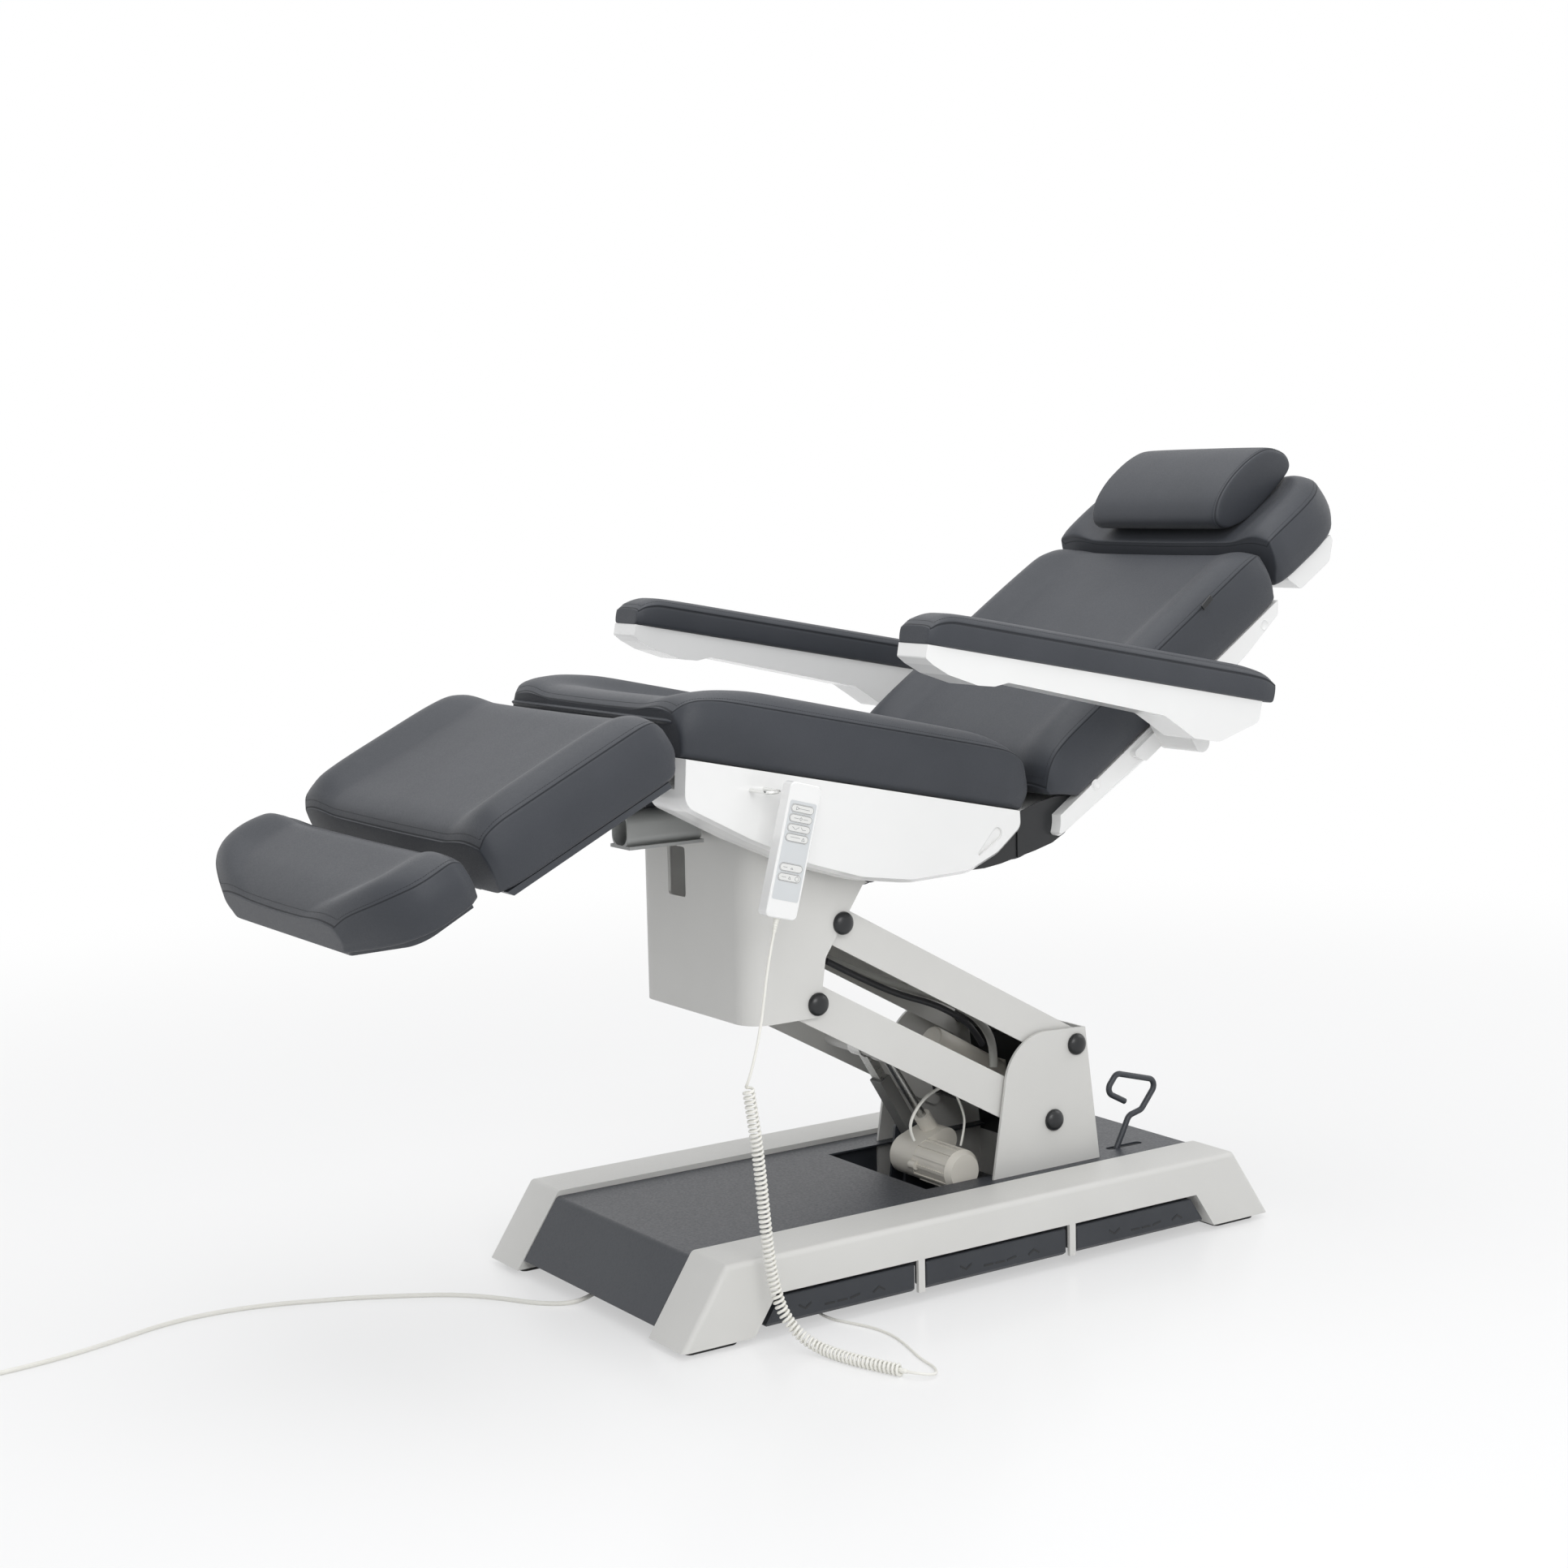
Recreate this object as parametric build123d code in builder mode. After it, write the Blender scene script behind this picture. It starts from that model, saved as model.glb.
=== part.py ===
from build123d import *
import math
import os

# Electric treatment chair: a folded base, a parallel-arm lift, a tilting seat with a leg and foot
# part, and a back with a head part. Millimetres; X runs along the chair to the head end, Y across
# it with the handset on the minus side, Z up. The origin is on the floor under the base's centre.

# ------------------------------------------------------------------ fits and common sizes
running = 0.05          # radial clearance of a pin in its bore
seat_gap = 0.3          # rest gap between pieces of different bodies
side_gap = 0.7          # side play between a lug and its neighbour
overrun = 40.0          # how far a cutting block runs past what it cuts
sheet = 5.0             # plate of tower, arms and column box
thin_sheet = 3.0        # base cover and light brackets
edge_round = 1.5

# ------------------------------------------------------------------ base
rail_length = 1150.0    # at the floor
rail_top_length = 994.0
rail_height = 116.0
rail_outer = 295.0      # half width over the rails
rail_width = 95.0
rail_round = 9.0
foot_length = 123.0
arch_height = 58.0      # clear height of the pedal opening in a rail
post_width = 12.0
post_depth = 6.0
post_offset = 149.0
post_clear = 7.0        # from the floor side of the rail to a post's end
pad_height = 10.0
pad_length = 88.0
pad_width = 64.0
pad_round = 10.0
cover_half = 198.0
cover_drop = 8.0        # top of the cover under the rail's top
cover_top_length = 1002.0
cover_foot_length = 1128.0
cover_clear = 25.0
cover_flange = 20.0
well_front = 18.0       # the opening in the cover, ahead of and behind the centre
well_rear = 330.0
well_half = 135.0
pan_length = 960.0
inlet_side = 22.0       # mains inlet gland
inlet_height = 23.0
inlet_reach = 500.0
inlet_radius = 7.0
inlet_run = 18.0        # the mains cord's level run out of it
pan_clear = 20.0
pan_sheet = 6.0
member_width = 30.0
member_inner = 160.0
outrigger_place = 450.0
outrigger_length = 40.0
pin_height = 40.5       # pedal pins above the floor

pedal_height = 43.0
pedal_depth = 30.0
pedal_gap = 5.0
pedal_end_gap = 13.0
pedal_bevel = 6.0
pedal_round = 4.0
pedal_set_back = 3.0
pedal_hub = 12.0
pedal_pin = 5.0

# ------------------------------------------------------------------ tower and lift
lower_pivot_x = 225.0
lower_pivot_z = 197.0
pivot_step_x = 49.0     # from the lower to the upper pivot of the tower, and of the column box
pivot_step_z = 119.0
arm_length = 527.0
arm_rest = 28.8         # degrees the arms rise toward the seat
shaft_radius = 8.0
cap_radius = 14.5
cap_height = 8.0
tower_outer = 160.0
tower_front = 100.0
tower_rear = 323.0
tower_top_rear = 294.0
tower_top = 346.0
tower_round = 85.0
tower_corner = 12.0
arm_gap = 4.0
upper_arm_over = 23.0
upper_arm_under = 36.0
lower_arm_over = 29.0
lower_arm_under = 34.0
arm_end = 13.0
arm_heel = 20.0         # round of the upper corner at the tower end
arm_tip = 27.0
upper_web_start = 60.0
lower_web_start = 205.0
web_end_gap = 60.0
tube_radius = 14.0
boss_radius = 15.0

# lift drive: base pivot, head of the rod, and the motor beside the spindle
drive_x = 151.0
drive_z = 84.0
lift_head_x = 0.0       # where the rods take the lower arm, at rest
lift_head_z = 315.0
drive_tube = 14.0
drive_rod = 7.5
drive_tube_length = 135.0
drive_bore_depth = 125.0
drive_eye = 17.0
drive_eye_width = 30.0
drive_pin = 8.0
rod_inside = 55.0
motor_along = 85.0
motor_aside = 46.0
motor_radius = 35.0
motor_end = 118.0
motor_dome = 10.0
motor_rib = 2.2
motor_rib_count = 12
gear_half = 30.0
gear_wall = 4.0
gear_neck = 22.0
gland_radius = 7.0
gland_length = 16.0

prop_x = 98.0
prop_z = 155.0
prop_side = 60.0
prop_depth = 22.0
prop_width = 32.0
prop_sleeve = 118.0
prop_inner = 44.0
prop_wall = 4.0
cheek_sheet = 5.0
cheek_front = 62.0
cheek_rear = 135.0
cheek_over = 17.0

rear_motor_x = 287.0
rear_motor_z = 222.0
rear_motor_tip_x = 150.0
rear_motor_tip_z = 300.0
rear_motor_side = 70.0
rear_motor_radius = 26.0

# ------------------------------------------------------------------ column box
box_front = 360.0
box_bottom = 430.0
box_round = 40.0
box_slot_low = 607.0
box_slot_height = 78.0
box_slot_near = 13.0
box_slot_width = 51.0
box_floor_length = 64.0
tilt_step_x = 101.8     # tilt pivot from the box's lower arm pivot
tilt_step_z = 194.1
tilt_lug = 28.0

# ------------------------------------------------------------------ seat
seat_angle = -12.0
seat_length = 650.0
seat_half = 265.0
seat_thick = 89.0
seat_crown = 21.0
seat_dip = 23.0
seat_bolster = 112.0
tilt_u = 441.3          # tilt pivot in the seat's own frame
tilt_n = 214.7
board_thick = 8.0
seat_board_half = 245.0
seat_board_front = 25.0
seat_board_rear = 30.0
rail_bar_side = 110.0
rail_bar_width = 30.0
rail_bar_height = 30.0
rail_bar_front = 60.0
rail_bar_rear = 50.0      # before the seat's rear end
lug_sheet = 8.0
leg_hinge_u = 5.0
leg_hinge_n = 110.0
back_hinge_beyond = 3.6
back_hinge_u = seat_length + back_hinge_beyond
back_hinge_n = 107.3
hinge_eye = 14.0
hinge_pin = 7.0
leg_lug_side = 200.0
lug_width = 12.0
drum_radius = 60.0
drum_half = 222.0
drum_from = -165.0
drum_to = -8.0
pod_half = 265.0
pod_inner = 169.0
pod_length = 620.0
pod_depth = 132.0
pod_front_u = 16.0
pod_round = 22.0
dash_sheet = 4.0
dash_depth = 38.0
leg_drive_front = 505.0
leg_drive_rear = 375.0
leg_drive_near = 63.0
leg_drive_far = 17.0
leg_drive_bottom = 703.0
leg_drive_top = 760.0
hook_wire = 2.5
hook_x = 407.0
hook_z = 803.0
hook_half = 12.0

# ------------------------------------------------------------------ leg and foot
leg_angle = 26.2
leg_length = 324.0
leg_half = 305.0
leg_thick = 93.0
leg_crown = 20.0
leg_dip = 22.0
leg_bolster = 120.0
leg_hinge_along = 318.5
leg_hinge_down = 97.7
leg_board_half = 288.0
leg_board_thick = 10.0
runner_side = 120.0
runner_size = 26.0
foot_rod = 8.0
foot_rod_drop = 116.0
foot_rod_in = 200.0
foot_length_all = 162.0
foot_start = 40.0
foot_half = 322.0
foot_board_over = 5.0   # past the leg board on each side
foot_board_half = leg_board_half + foot_board_over
foot_thick = 70.0
foot_seam = 5.0
foot_crown = 18.0
foot_dip = 18.0
foot_bolster = 125.0

# ------------------------------------------------------------------ back and head
back_angle = 33.8
back_length = 572.0
back_half = 272.0
back_thick = 92.0
back_crown = 20.0
back_dip = 22.0
back_bolster = 112.0
back_hinge_along = 637.2
back_hinge_down = 62.0
back_shell_half = 262.0
back_shell_thick = 46.0
back_arm_side = 226.0
back_arm_width = 10.0
back_pin = 9.0
back_eye = 17.0
head_angle = 33.5
head_length = 200.0
head_half = 272.0
head_thick = 79.0
head_crown = 18.0
head_dip = 20.0
head_bolster = 105.0
head_hinge_along = 11.2     # on the back's frame
head_hinge_below = 96.5
head_hinge_u = 11.9         # on the head's frame
head_hinge_n = 97.7
head_shell_thick = 36.0
head_shell_half = 252.0
head_shell_length = 128.0
neck_lug_side = 44.0
neck_lug_width = 12.0
neck_pin = 7.0
neck_eye = 14.0
pillow_half = 155.0
pillow_length = 196.0
pillow_height = 82.0

# ------------------------------------------------------------------ armrests
armrest_angle = -10.8
armrest_length = 683.0
armrest_inner = 360.0
armrest_width = 80.0
armrest_pad = 36.0
armrest_crown = 15.0
armrest_depth = 73.0
armrest_inset = 6.0
armrest_pivot_u = 595.5
armrest_pivot_n = 49.4
armrest_back_u = 346.2      # the pivot on the back's frame
armrest_back_n = 86.0
armrest_boss = 15.0
armrest_boss_drop = 36.0
armrest_boss_end = 357.0
armrest_pin = 9.0
armrest_bite = 36.0
bracket_plate = 13.0

# ------------------------------------------------------------------ handset
handset_x = -393.0
handset_z = 720.0
handset_front = 336.0
handset_width = 54.0
handset_height = 194.0
handset_thick = 22.0
handset_lean = 15.0
handset_round = 8.0
button_width = 40.0
button_height = 11.5
button_rise = 0.8
button_depth = 4.0
button_travel = 1.2
button_pitch = 14.0
button_top = 60.5
button_low = -24.0
relief_radius = 4.2
relief_length = 14.0

# ------------------------------------------------------------------ cords, lever and axle
curl_radius = 7.2       # of the curls' centre line
curl_wire = 2.1
curl_count = 78
thin_radius = 2.3
mains_radius = 3.5
coil_radius = 52.0
coil_pitch = 8.4
coil_loops = 3
lever_radius = 5.0
lever_shaft = 7.0
lever_x = 372.0
lever_z = 62.0
lever_side = 130.0
lever_swing = 34.0


# ------------------------------------------------------------------ frames
def lie(x, z, angle, u=0.0, n=0.0):
    """The point u along and n above a piece that starts at x, z and rises at angle."""
    c, s = math.cos(math.radians(angle)), math.sin(math.radians(angle))
    return x + c * u - s * n, z + s * u + c * n


def start_of(pivot, angle, u, n):
    """Where a piece starts, when its point u, n lies on the pivot."""
    c, s = math.cos(math.radians(angle)), math.sin(math.radians(angle))
    return pivot[0] - c * u + s * n, pivot[1] - s * u - c * n


def across(start, angle, y=0.0):
    """Side view plane of a piece: its x along, its y up from the piece, facing the near side."""
    c, s = math.cos(math.radians(angle)), math.sin(math.radians(angle))
    return Plane(origin=(start[0], y, start[1]), x_dir=(c, 0, s), z_dir=(0, -1, 0))


def section(start, angle, run):
    """Plane square to a piece at a distance along it: its x across the chair, its y up."""
    c, s = math.cos(math.radians(angle)), math.sin(math.radians(angle))
    return Plane(origin=(start[0] + c * run, 0, start[1] + s * run), x_dir=(0, 1, 0), z_dir=(c, 0, s))


def face_of(points, radii=0.0):
    """Closed outline with rounded corners, as a face of the open sketch."""
    with BuildLine() as edge:
        FilletPolyline(*points, radius=radii, close=True)
    make_face(edge.edges())


def cushion_face(half, bottom, seam, crown, dip, bolster, corner):
    """Cross-section of a cushion: drawn-in sides, a seam at each top edge, two raised side rolls
    and the shallow channel between them."""
    inset = bolster * draw_in_share
    top = seam + crown
    peak = half - bolster * peak_share
    foot_x = half - bolster
    floor = top - dip
    mid_x, mid_y = (peak + foot_x) / 2, (top + floor) / 2
    with BuildLine() as edge:
        Line((-(half - corner - inset), bottom), (half - corner - inset, bottom))
        for side in (1, -1):
            TangentArc((side * (half - corner - inset), bottom), (side * (half - inset), bottom + corner),
                       tangent=(side, 0))
            ThreePointArc((side * (half - inset), bottom + corner),
                          (side * half, (bottom + corner + seam) / 2), (side * (half - inset), seam))
            TangentArc((side * peak, top), (side * (half - inset), seam), tangent=(side, 0))
            TangentArc((side * peak, top), (side * mid_x, mid_y), tangent=(-side, 0))
            TangentArc((side * foot_x, floor), (side * mid_x, mid_y), tangent=(side, 0))
        Line((-foot_x, floor), (foot_x, floor))
    make_face(edge.edges())


draw_in_share = 0.055
peak_share = 0.42

# pivots of the lift
lower_pivot = (lower_pivot_x, lower_pivot_z)
upper_pivot = (lower_pivot_x + pivot_step_x, lower_pivot_z + pivot_step_z)
arm_line = 180.0 - arm_rest
box_lower = lie(*lower_pivot, arm_line, arm_length)
box_upper = (box_lower[0] + pivot_step_x, box_lower[1] + pivot_step_z)
tilt_pivot = (box_lower[0] + tilt_step_x, box_lower[1] + tilt_step_z)
seat_start = start_of(tilt_pivot, seat_angle, tilt_u, -tilt_n)
leg_pivot = lie(*seat_start, seat_angle, leg_hinge_u, -leg_hinge_n)
back_pivot = lie(*seat_start, seat_angle, back_hinge_u, -back_hinge_n)
leg_start = start_of(leg_pivot, leg_angle, leg_hinge_along, -leg_hinge_down)
back_start = start_of(back_pivot, back_angle, -back_hinge_along, -back_hinge_down)
head_pivot = lie(*back_start, back_angle, head_hinge_along, -head_hinge_below)
head_start = start_of(head_pivot, head_angle, -head_hinge_u, -head_hinge_n)
armrest_pivot = lie(*back_start, back_angle, -armrest_back_u, -armrest_back_n)
armrest_start = start_of(armrest_pivot, armrest_angle, armrest_pivot_u, -armrest_pivot_n)
for name, place in (("tilt", tilt_pivot), ("leg", leg_pivot), ("back", back_pivot), ("head", head_pivot),
                    ("armrest", armrest_pivot), ("box lower", box_lower), ("box upper", box_upper),
                    ("seat", seat_start), ("leg start", leg_start), ("back start", back_start),
                    ("head start", head_start), ("armrest start", armrest_start)):
    print(name, "at", round(place[0], 2), round(place[1], 2))

# ------------------------------------------------------------------ base rails
rail_bottom = pad_height
rail_top = pad_height + rail_height
rail_inner = rail_outer - rail_width
slope = (rail_length - rail_top_length) / 2 / rail_height
arch_foot = rail_length / 2 - foot_length
arch_top = arch_foot - slope * arch_height

with BuildPart() as rail_near:
    with BuildSketch(Plane.XZ.offset(rail_inner)):
        face_of([(-rail_length / 2, rail_bottom), (rail_length / 2, rail_bottom),
                 (rail_top_length / 2, rail_top), (-rail_top_length / 2, rail_top)])
    extrude(amount=rail_width)
    fillet(rail_near.edges().filter_by(lambda e: e.center().Z > rail_bottom + edge_round).filter_by(
        lambda e: abs(e.center().Y + rail_outer) < edge_round or e.length < rail_width + edge_round), rail_round)
    with BuildSketch(Plane.XZ.offset(rail_inner - overrun)):
        face_of([(-arch_foot, rail_bottom), (-arch_top, rail_bottom + arch_height),
                 (arch_top, rail_bottom + arch_height), (arch_foot, rail_bottom)])
    extrude(amount=rail_width + overrun + overrun, mode=Mode.SUBTRACT)
    with BuildSketch(Plane.XZ.offset(rail_outer)):
        with Locations((-post_offset, rail_bottom + (arch_height + post_clear) / 2),
                       (post_offset, rail_bottom + (arch_height + post_clear) / 2)):
            Rectangle(post_width, arch_height - post_clear)
    extrude(amount=-post_depth)
rail_near.part.label = "rail_near"
with BuildPart() as rail_far:
    mirror(rail_near.part, about=Plane.XZ)
rail_far.part.label = "rail_far"

pad_x = (rail_length - foot_length) / 2
pad_y = rail_outer - rail_width / 2
with BuildPart() as pads_near:
    with BuildSketch():
        with Locations((-pad_x, -pad_y), (pad_x, -pad_y)):
            RectangleRounded(pad_length, pad_width, pad_round)
    extrude(amount=pad_height)
    chamfer(pads_near.faces().filter_by(Axis.Z).group_by(Axis.Z)[0].edges(), edge_round)
pads_near.part.label = "pads_near"
with BuildPart() as pads_far:
    mirror(pads_near.part, about=Plane.XZ)
pads_far.part.label = "pads_far"

# ------------------------------------------------------------------ base cover
cover_top = rail_top - cover_drop
with BuildPart() as base_cover:
    with BuildSketch(Plane.XZ.offset(-cover_half)):
        with BuildLine() as edge:
            FilletPolyline((-cover_foot_length / 2, cover_clear), (-cover_top_length / 2, cover_top),
                           (cover_top_length / 2, cover_top), (cover_foot_length / 2, cover_clear),
                           radius=rail_round)
            offset(amount=thin_sheet, side=Side.RIGHT, closed=True)
        make_face()
    extrude(amount=cover_half + cover_half)
    with BuildSketch(Plane.XY.offset(cover_top - cover_flange)):
        for side in (-1, 1):
            with Locations((0, side * (cover_half - thin_sheet / 2))):
                Rectangle(cover_top_length - rail_round, thin_sheet)
    extrude(amount=cover_flange - thin_sheet / 2)
    with BuildSketch(Plane.XY.offset(cover_top + overrun)):
        with Locations(((well_rear - well_front) / 2, 0)):
            Rectangle(well_rear + well_front, well_half + well_half)
        for side in (-1, 1):
            with Locations(((tower_front + tower_rear) / 2, side * (tower_outer - sheet / 2))):
                Rectangle(tower_rear - tower_front + sheet, sheet + seat_gap + seat_gap)
        with Locations((tower_rear - thin_sheet / 2, 0)):
            Rectangle(thin_sheet + seat_gap + seat_gap, tower_outer + tower_outer + seat_gap + seat_gap)
    extrude(amount=-(overrun + cover_flange + thin_sheet), mode=Mode.SUBTRACT)
base_cover.part.label = "base_cover"

# ------------------------------------------------------------------ chassis
under_cover = cover_top - thin_sheet
pan_top = pan_clear + pan_sheet
pedal_inner = post_offset + post_width / 2 + pedal_gap
pedal_outer_foot = arch_foot - slope * (pin_height - pedal_height / 2 - rail_bottom) - pedal_end_gap
pedal_outer_top = pedal_outer_foot - slope * pedal_height
pedal_outer_x = (pedal_inner + (pedal_outer_foot + pedal_outer_top) / 2) / 2
pedal_face = rail_outer - pedal_set_back
pedal_back = pedal_face - pedal_depth
pedal_places = (-pedal_outer_x, 0.0, pedal_outer_x)
with BuildPart() as chassis:
    with BuildSketch(Plane.XY.offset(pan_clear)):
        Rectangle(pan_length, member_inner + member_inner)
    extrude(amount=pan_sheet)
    for side in (-1, 1):
        with BuildSketch(Plane.XY.offset(pan_clear)):
            with Locations((0, side * (member_inner + member_width / 2))):
                Rectangle(pan_length, member_width)
        extrude(amount=under_cover - pan_clear)
        with BuildSketch(Plane.XY.offset(pan_clear)):
            with Locations((-outrigger_place, side * (member_inner + rail_inner) / 2),
                           (outrigger_place, side * (member_inner + rail_inner) / 2)):
                Rectangle(outrigger_length, rail_inner - member_inner)
        extrude(amount=cover_top - cover_flange - side_gap - pan_clear)
        with BuildSketch(Plane.XZ.offset(-side * (member_inner + member_width / 2))):
            with Locations(*((place, pin_height) for place in pedal_places)):
                Circle(pedal_pin)
        extrude(amount=-side * (pedal_face - pedal_depth / 2 - member_inner - member_width / 2))
    # cheeks that carry the prop, and lugs that carry the lift drive
    for y in (prop_side - prop_width / 2 - side_gap - cheek_sheet, prop_side + prop_width / 2 + side_gap):
        with BuildSketch(Plane.XZ.offset(-y - cheek_sheet)):
            face_of([(cheek_front, pan_top - edge_round), (cheek_rear, pan_top - edge_round),
                     (prop_x + cheek_over, prop_z + cheek_over), (prop_x - cheek_over, prop_z + cheek_over)],
                    [0, 0, cheek_over - edge_round, cheek_over - edge_round])
        extrude(amount=cheek_sheet)
    with BuildSketch(Plane.XZ.offset(-(prop_side + prop_width / 2 + side_gap))):
        with Locations((prop_x, prop_z)):
            Circle(shaft_radius)
    extrude(amount=prop_width + side_gap + side_gap)
    for y in (-drive_eye_width / 2 - side_gap - cheek_sheet, drive_eye_width / 2 + side_gap):
        with BuildSketch(Plane.XZ.offset(-y - cheek_sheet)):
            face_of([(drive_x - drive_eye - cheek_sheet, pan_top - edge_round),
                     (drive_x + drive_eye + drive_eye, pan_top - edge_round),
                     (drive_x + drive_eye, drive_z + drive_eye), (drive_x - drive_eye, drive_z + drive_eye)],
                    [0, 0, drive_eye - edge_round, drive_eye - edge_round])
        extrude(amount=cheek_sheet)
    with BuildSketch(Plane.XZ.offset(-(drive_eye_width / 2 + side_gap))):
        with Locations((drive_x, drive_z)):
            Circle(drive_pin)
    extrude(amount=drive_eye_width + side_gap + side_gap)
    # mains inlet gland
    with BuildSketch(Plane(origin=(edge_round - pan_length / 2, inlet_side, inlet_height), z_dir=(-1, 0, 0))):
        Circle(inlet_radius)
    extrude(amount=inlet_reach - pan_length / 2 + edge_round)
chassis.part.label = "chassis"

# ------------------------------------------------------------------ tower
tower_inner = tower_outer - sheet
tower_lip = 4.0
with BuildPart() as tower:
    with BuildSketch(Plane.XZ.offset(-tower_outer)):
        with BuildLine():
            Polyline((tower_front, cover_top), (tower_front, pan_top), (tower_rear, pan_top),
                     (tower_rear, cover_top), (tower_top_rear, tower_top - tower_lip),
                     (tower_top_rear - tower_round, tower_top))
            ThreePointArc((tower_top_rear - tower_round, tower_top),
                          (tower_front + tower_round * 0.60, tower_top - tower_round * 0.28),
                          (tower_front + tower_round * 0.30, tower_top - tower_round * 0.94))
            Line((tower_front + tower_round * 0.30, tower_top - tower_round * 0.94), (tower_front, cover_top))
        make_face()
    extrude(amount=sheet)
    with BuildSketch(Plane.XZ.offset(-tower_inner - sheet / 2)):
        face_of([(tower_rear - thin_sheet, pan_top), (tower_rear, pan_top), (tower_rear, cover_top),
                 (tower_top_rear, tower_top - tower_lip), (tower_top_rear - thin_sheet, tower_top - tower_lip),
                 (tower_rear - thin_sheet, cover_top)])
    extrude(amount=tower_inner + sheet / 2)
    mirror(about=Plane.XZ)
    with BuildSketch(Plane.XZ.offset(-tower_outer - overrun)):
        with Locations(lower_pivot, upper_pivot):
            Circle(shaft_radius + running)
    extrude(amount=tower_outer + tower_outer + overrun + overrun, mode=Mode.SUBTRACT)
tower.part.label = "tower"


def make_shaft(place, label):
    """Pivot shaft with a domed cap nut outside each plate."""
    with BuildPart() as shaft:
        with BuildSketch(Plane.XZ.offset(-tower_outer)):
            with Locations(place):
                Circle(shaft_radius)
        extrude(amount=tower_outer + tower_outer)
        for side in (-1, 1):
            with BuildSketch(Plane.XZ.offset(-side * tower_outer)):
                with Locations(place):
                    RegularPolygon(cap_radius, 12)
            extrude(amount=-side * cap_height, taper=12)
    shaft.part.label = label
    return shaft.part


shafts = [make_shaft(lower_pivot, "shaft_tower_lower"), make_shaft(upper_pivot, "shaft_tower_upper"),
          make_shaft(box_lower, "shaft_box_lower"), make_shaft(box_upper, "shaft_box_upper")]

# ------------------------------------------------------------------ lift arms
arm_outer = tower_inner - arm_gap
arm_inner = arm_outer - sheet


def arm_blank(pivot, over, under, web_start):
    """Channel arm, open below, with its bosses; drawn from the tower pivot toward the seat."""
    with BuildSketch(across(pivot, arm_line, arm_outer)) as flange:
        face_of([(-arm_end, -over), (arm_length + arm_tip, -over), (arm_length + arm_tip, under),
                 (-arm_end, under)],
                [arm_heel, arm_end - edge_round, arm_end - edge_round, arm_end - edge_round])
    extrude(flange.sketch, amount=sheet)
    with BuildSketch(across(pivot, arm_line, arm_outer + arm_gap - side_gap)) as boss:
        with Locations((0, 0), (arm_length, 0)):
            Circle(boss_radius)
    extrude(boss.sketch, amount=arm_gap - side_gap)
    with BuildSketch(across(pivot, arm_line, arm_inner)) as web:
        face_of([(web_start, -over), (arm_length - web_end_gap, -over),
                 (arm_length - web_end_gap, -over + sheet), (web_start, -over + sheet)])
    extrude(web.sketch, amount=arm_inner)


with BuildPart() as upper_arm:
    arm_blank(upper_pivot, upper_arm_over, upper_arm_under, upper_web_start)
    mirror(about=Plane.XZ)
    with BuildSketch(Plane.XZ.offset(-tower_outer)):
        with Locations(upper_pivot, box_upper):
            Circle(shaft_radius + running)
    extrude(amount=tower_outer + tower_outer, mode=Mode.SUBTRACT)
upper_arm.part.label = "upper_arm"

eye_half = drive_eye_width / 2 + seat_gap
prop_low = prop_side - prop_width / 2 - seat_gap
prop_high = prop_side + prop_width / 2 + seat_gap
head_drop = (-math.sin(math.radians(arm_line)) * (lift_head_x - lower_pivot_x)
             + math.cos(math.radians(arm_line)) * (lift_head_z - lower_pivot_z))
web_under = lower_arm_over + head_drop - sheet / 2
with BuildPart() as lower_arm:
    arm_blank(lower_pivot, lower_arm_over, lower_arm_under, lower_web_start)
    mirror(about=Plane.XZ)
    for low, high in ((-arm_inner, -eye_half), (eye_half, prop_low), (prop_high, arm_inner)):
        with BuildSketch(Plane.XZ.offset(-high)):
            with Locations((lift_head_x, lift_head_z)):
                Circle(tube_radius)
        extrude(amount=high - low)
    # hangers between the web and the cross tube, one on each side of each rod's eye
    for low in (-eye_half - sheet, eye_half, prop_low - sheet, prop_high):
        with BuildSketch(across((lift_head_x, lift_head_z), arm_line, low + sheet)):
            face_of([(-tube_radius, 0), (tube_radius, 0), (tube_radius, -web_under), (-tube_radius, -web_under)])
        extrude(amount=sheet)
    with BuildSketch(Plane.XZ.offset(-tower_outer)):
        with Locations(lower_pivot, box_lower):
            Circle(shaft_radius + running)
    extrude(amount=tower_outer + tower_outer, mode=Mode.SUBTRACT)
lower_arm.part.label = "lower_arm"

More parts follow.
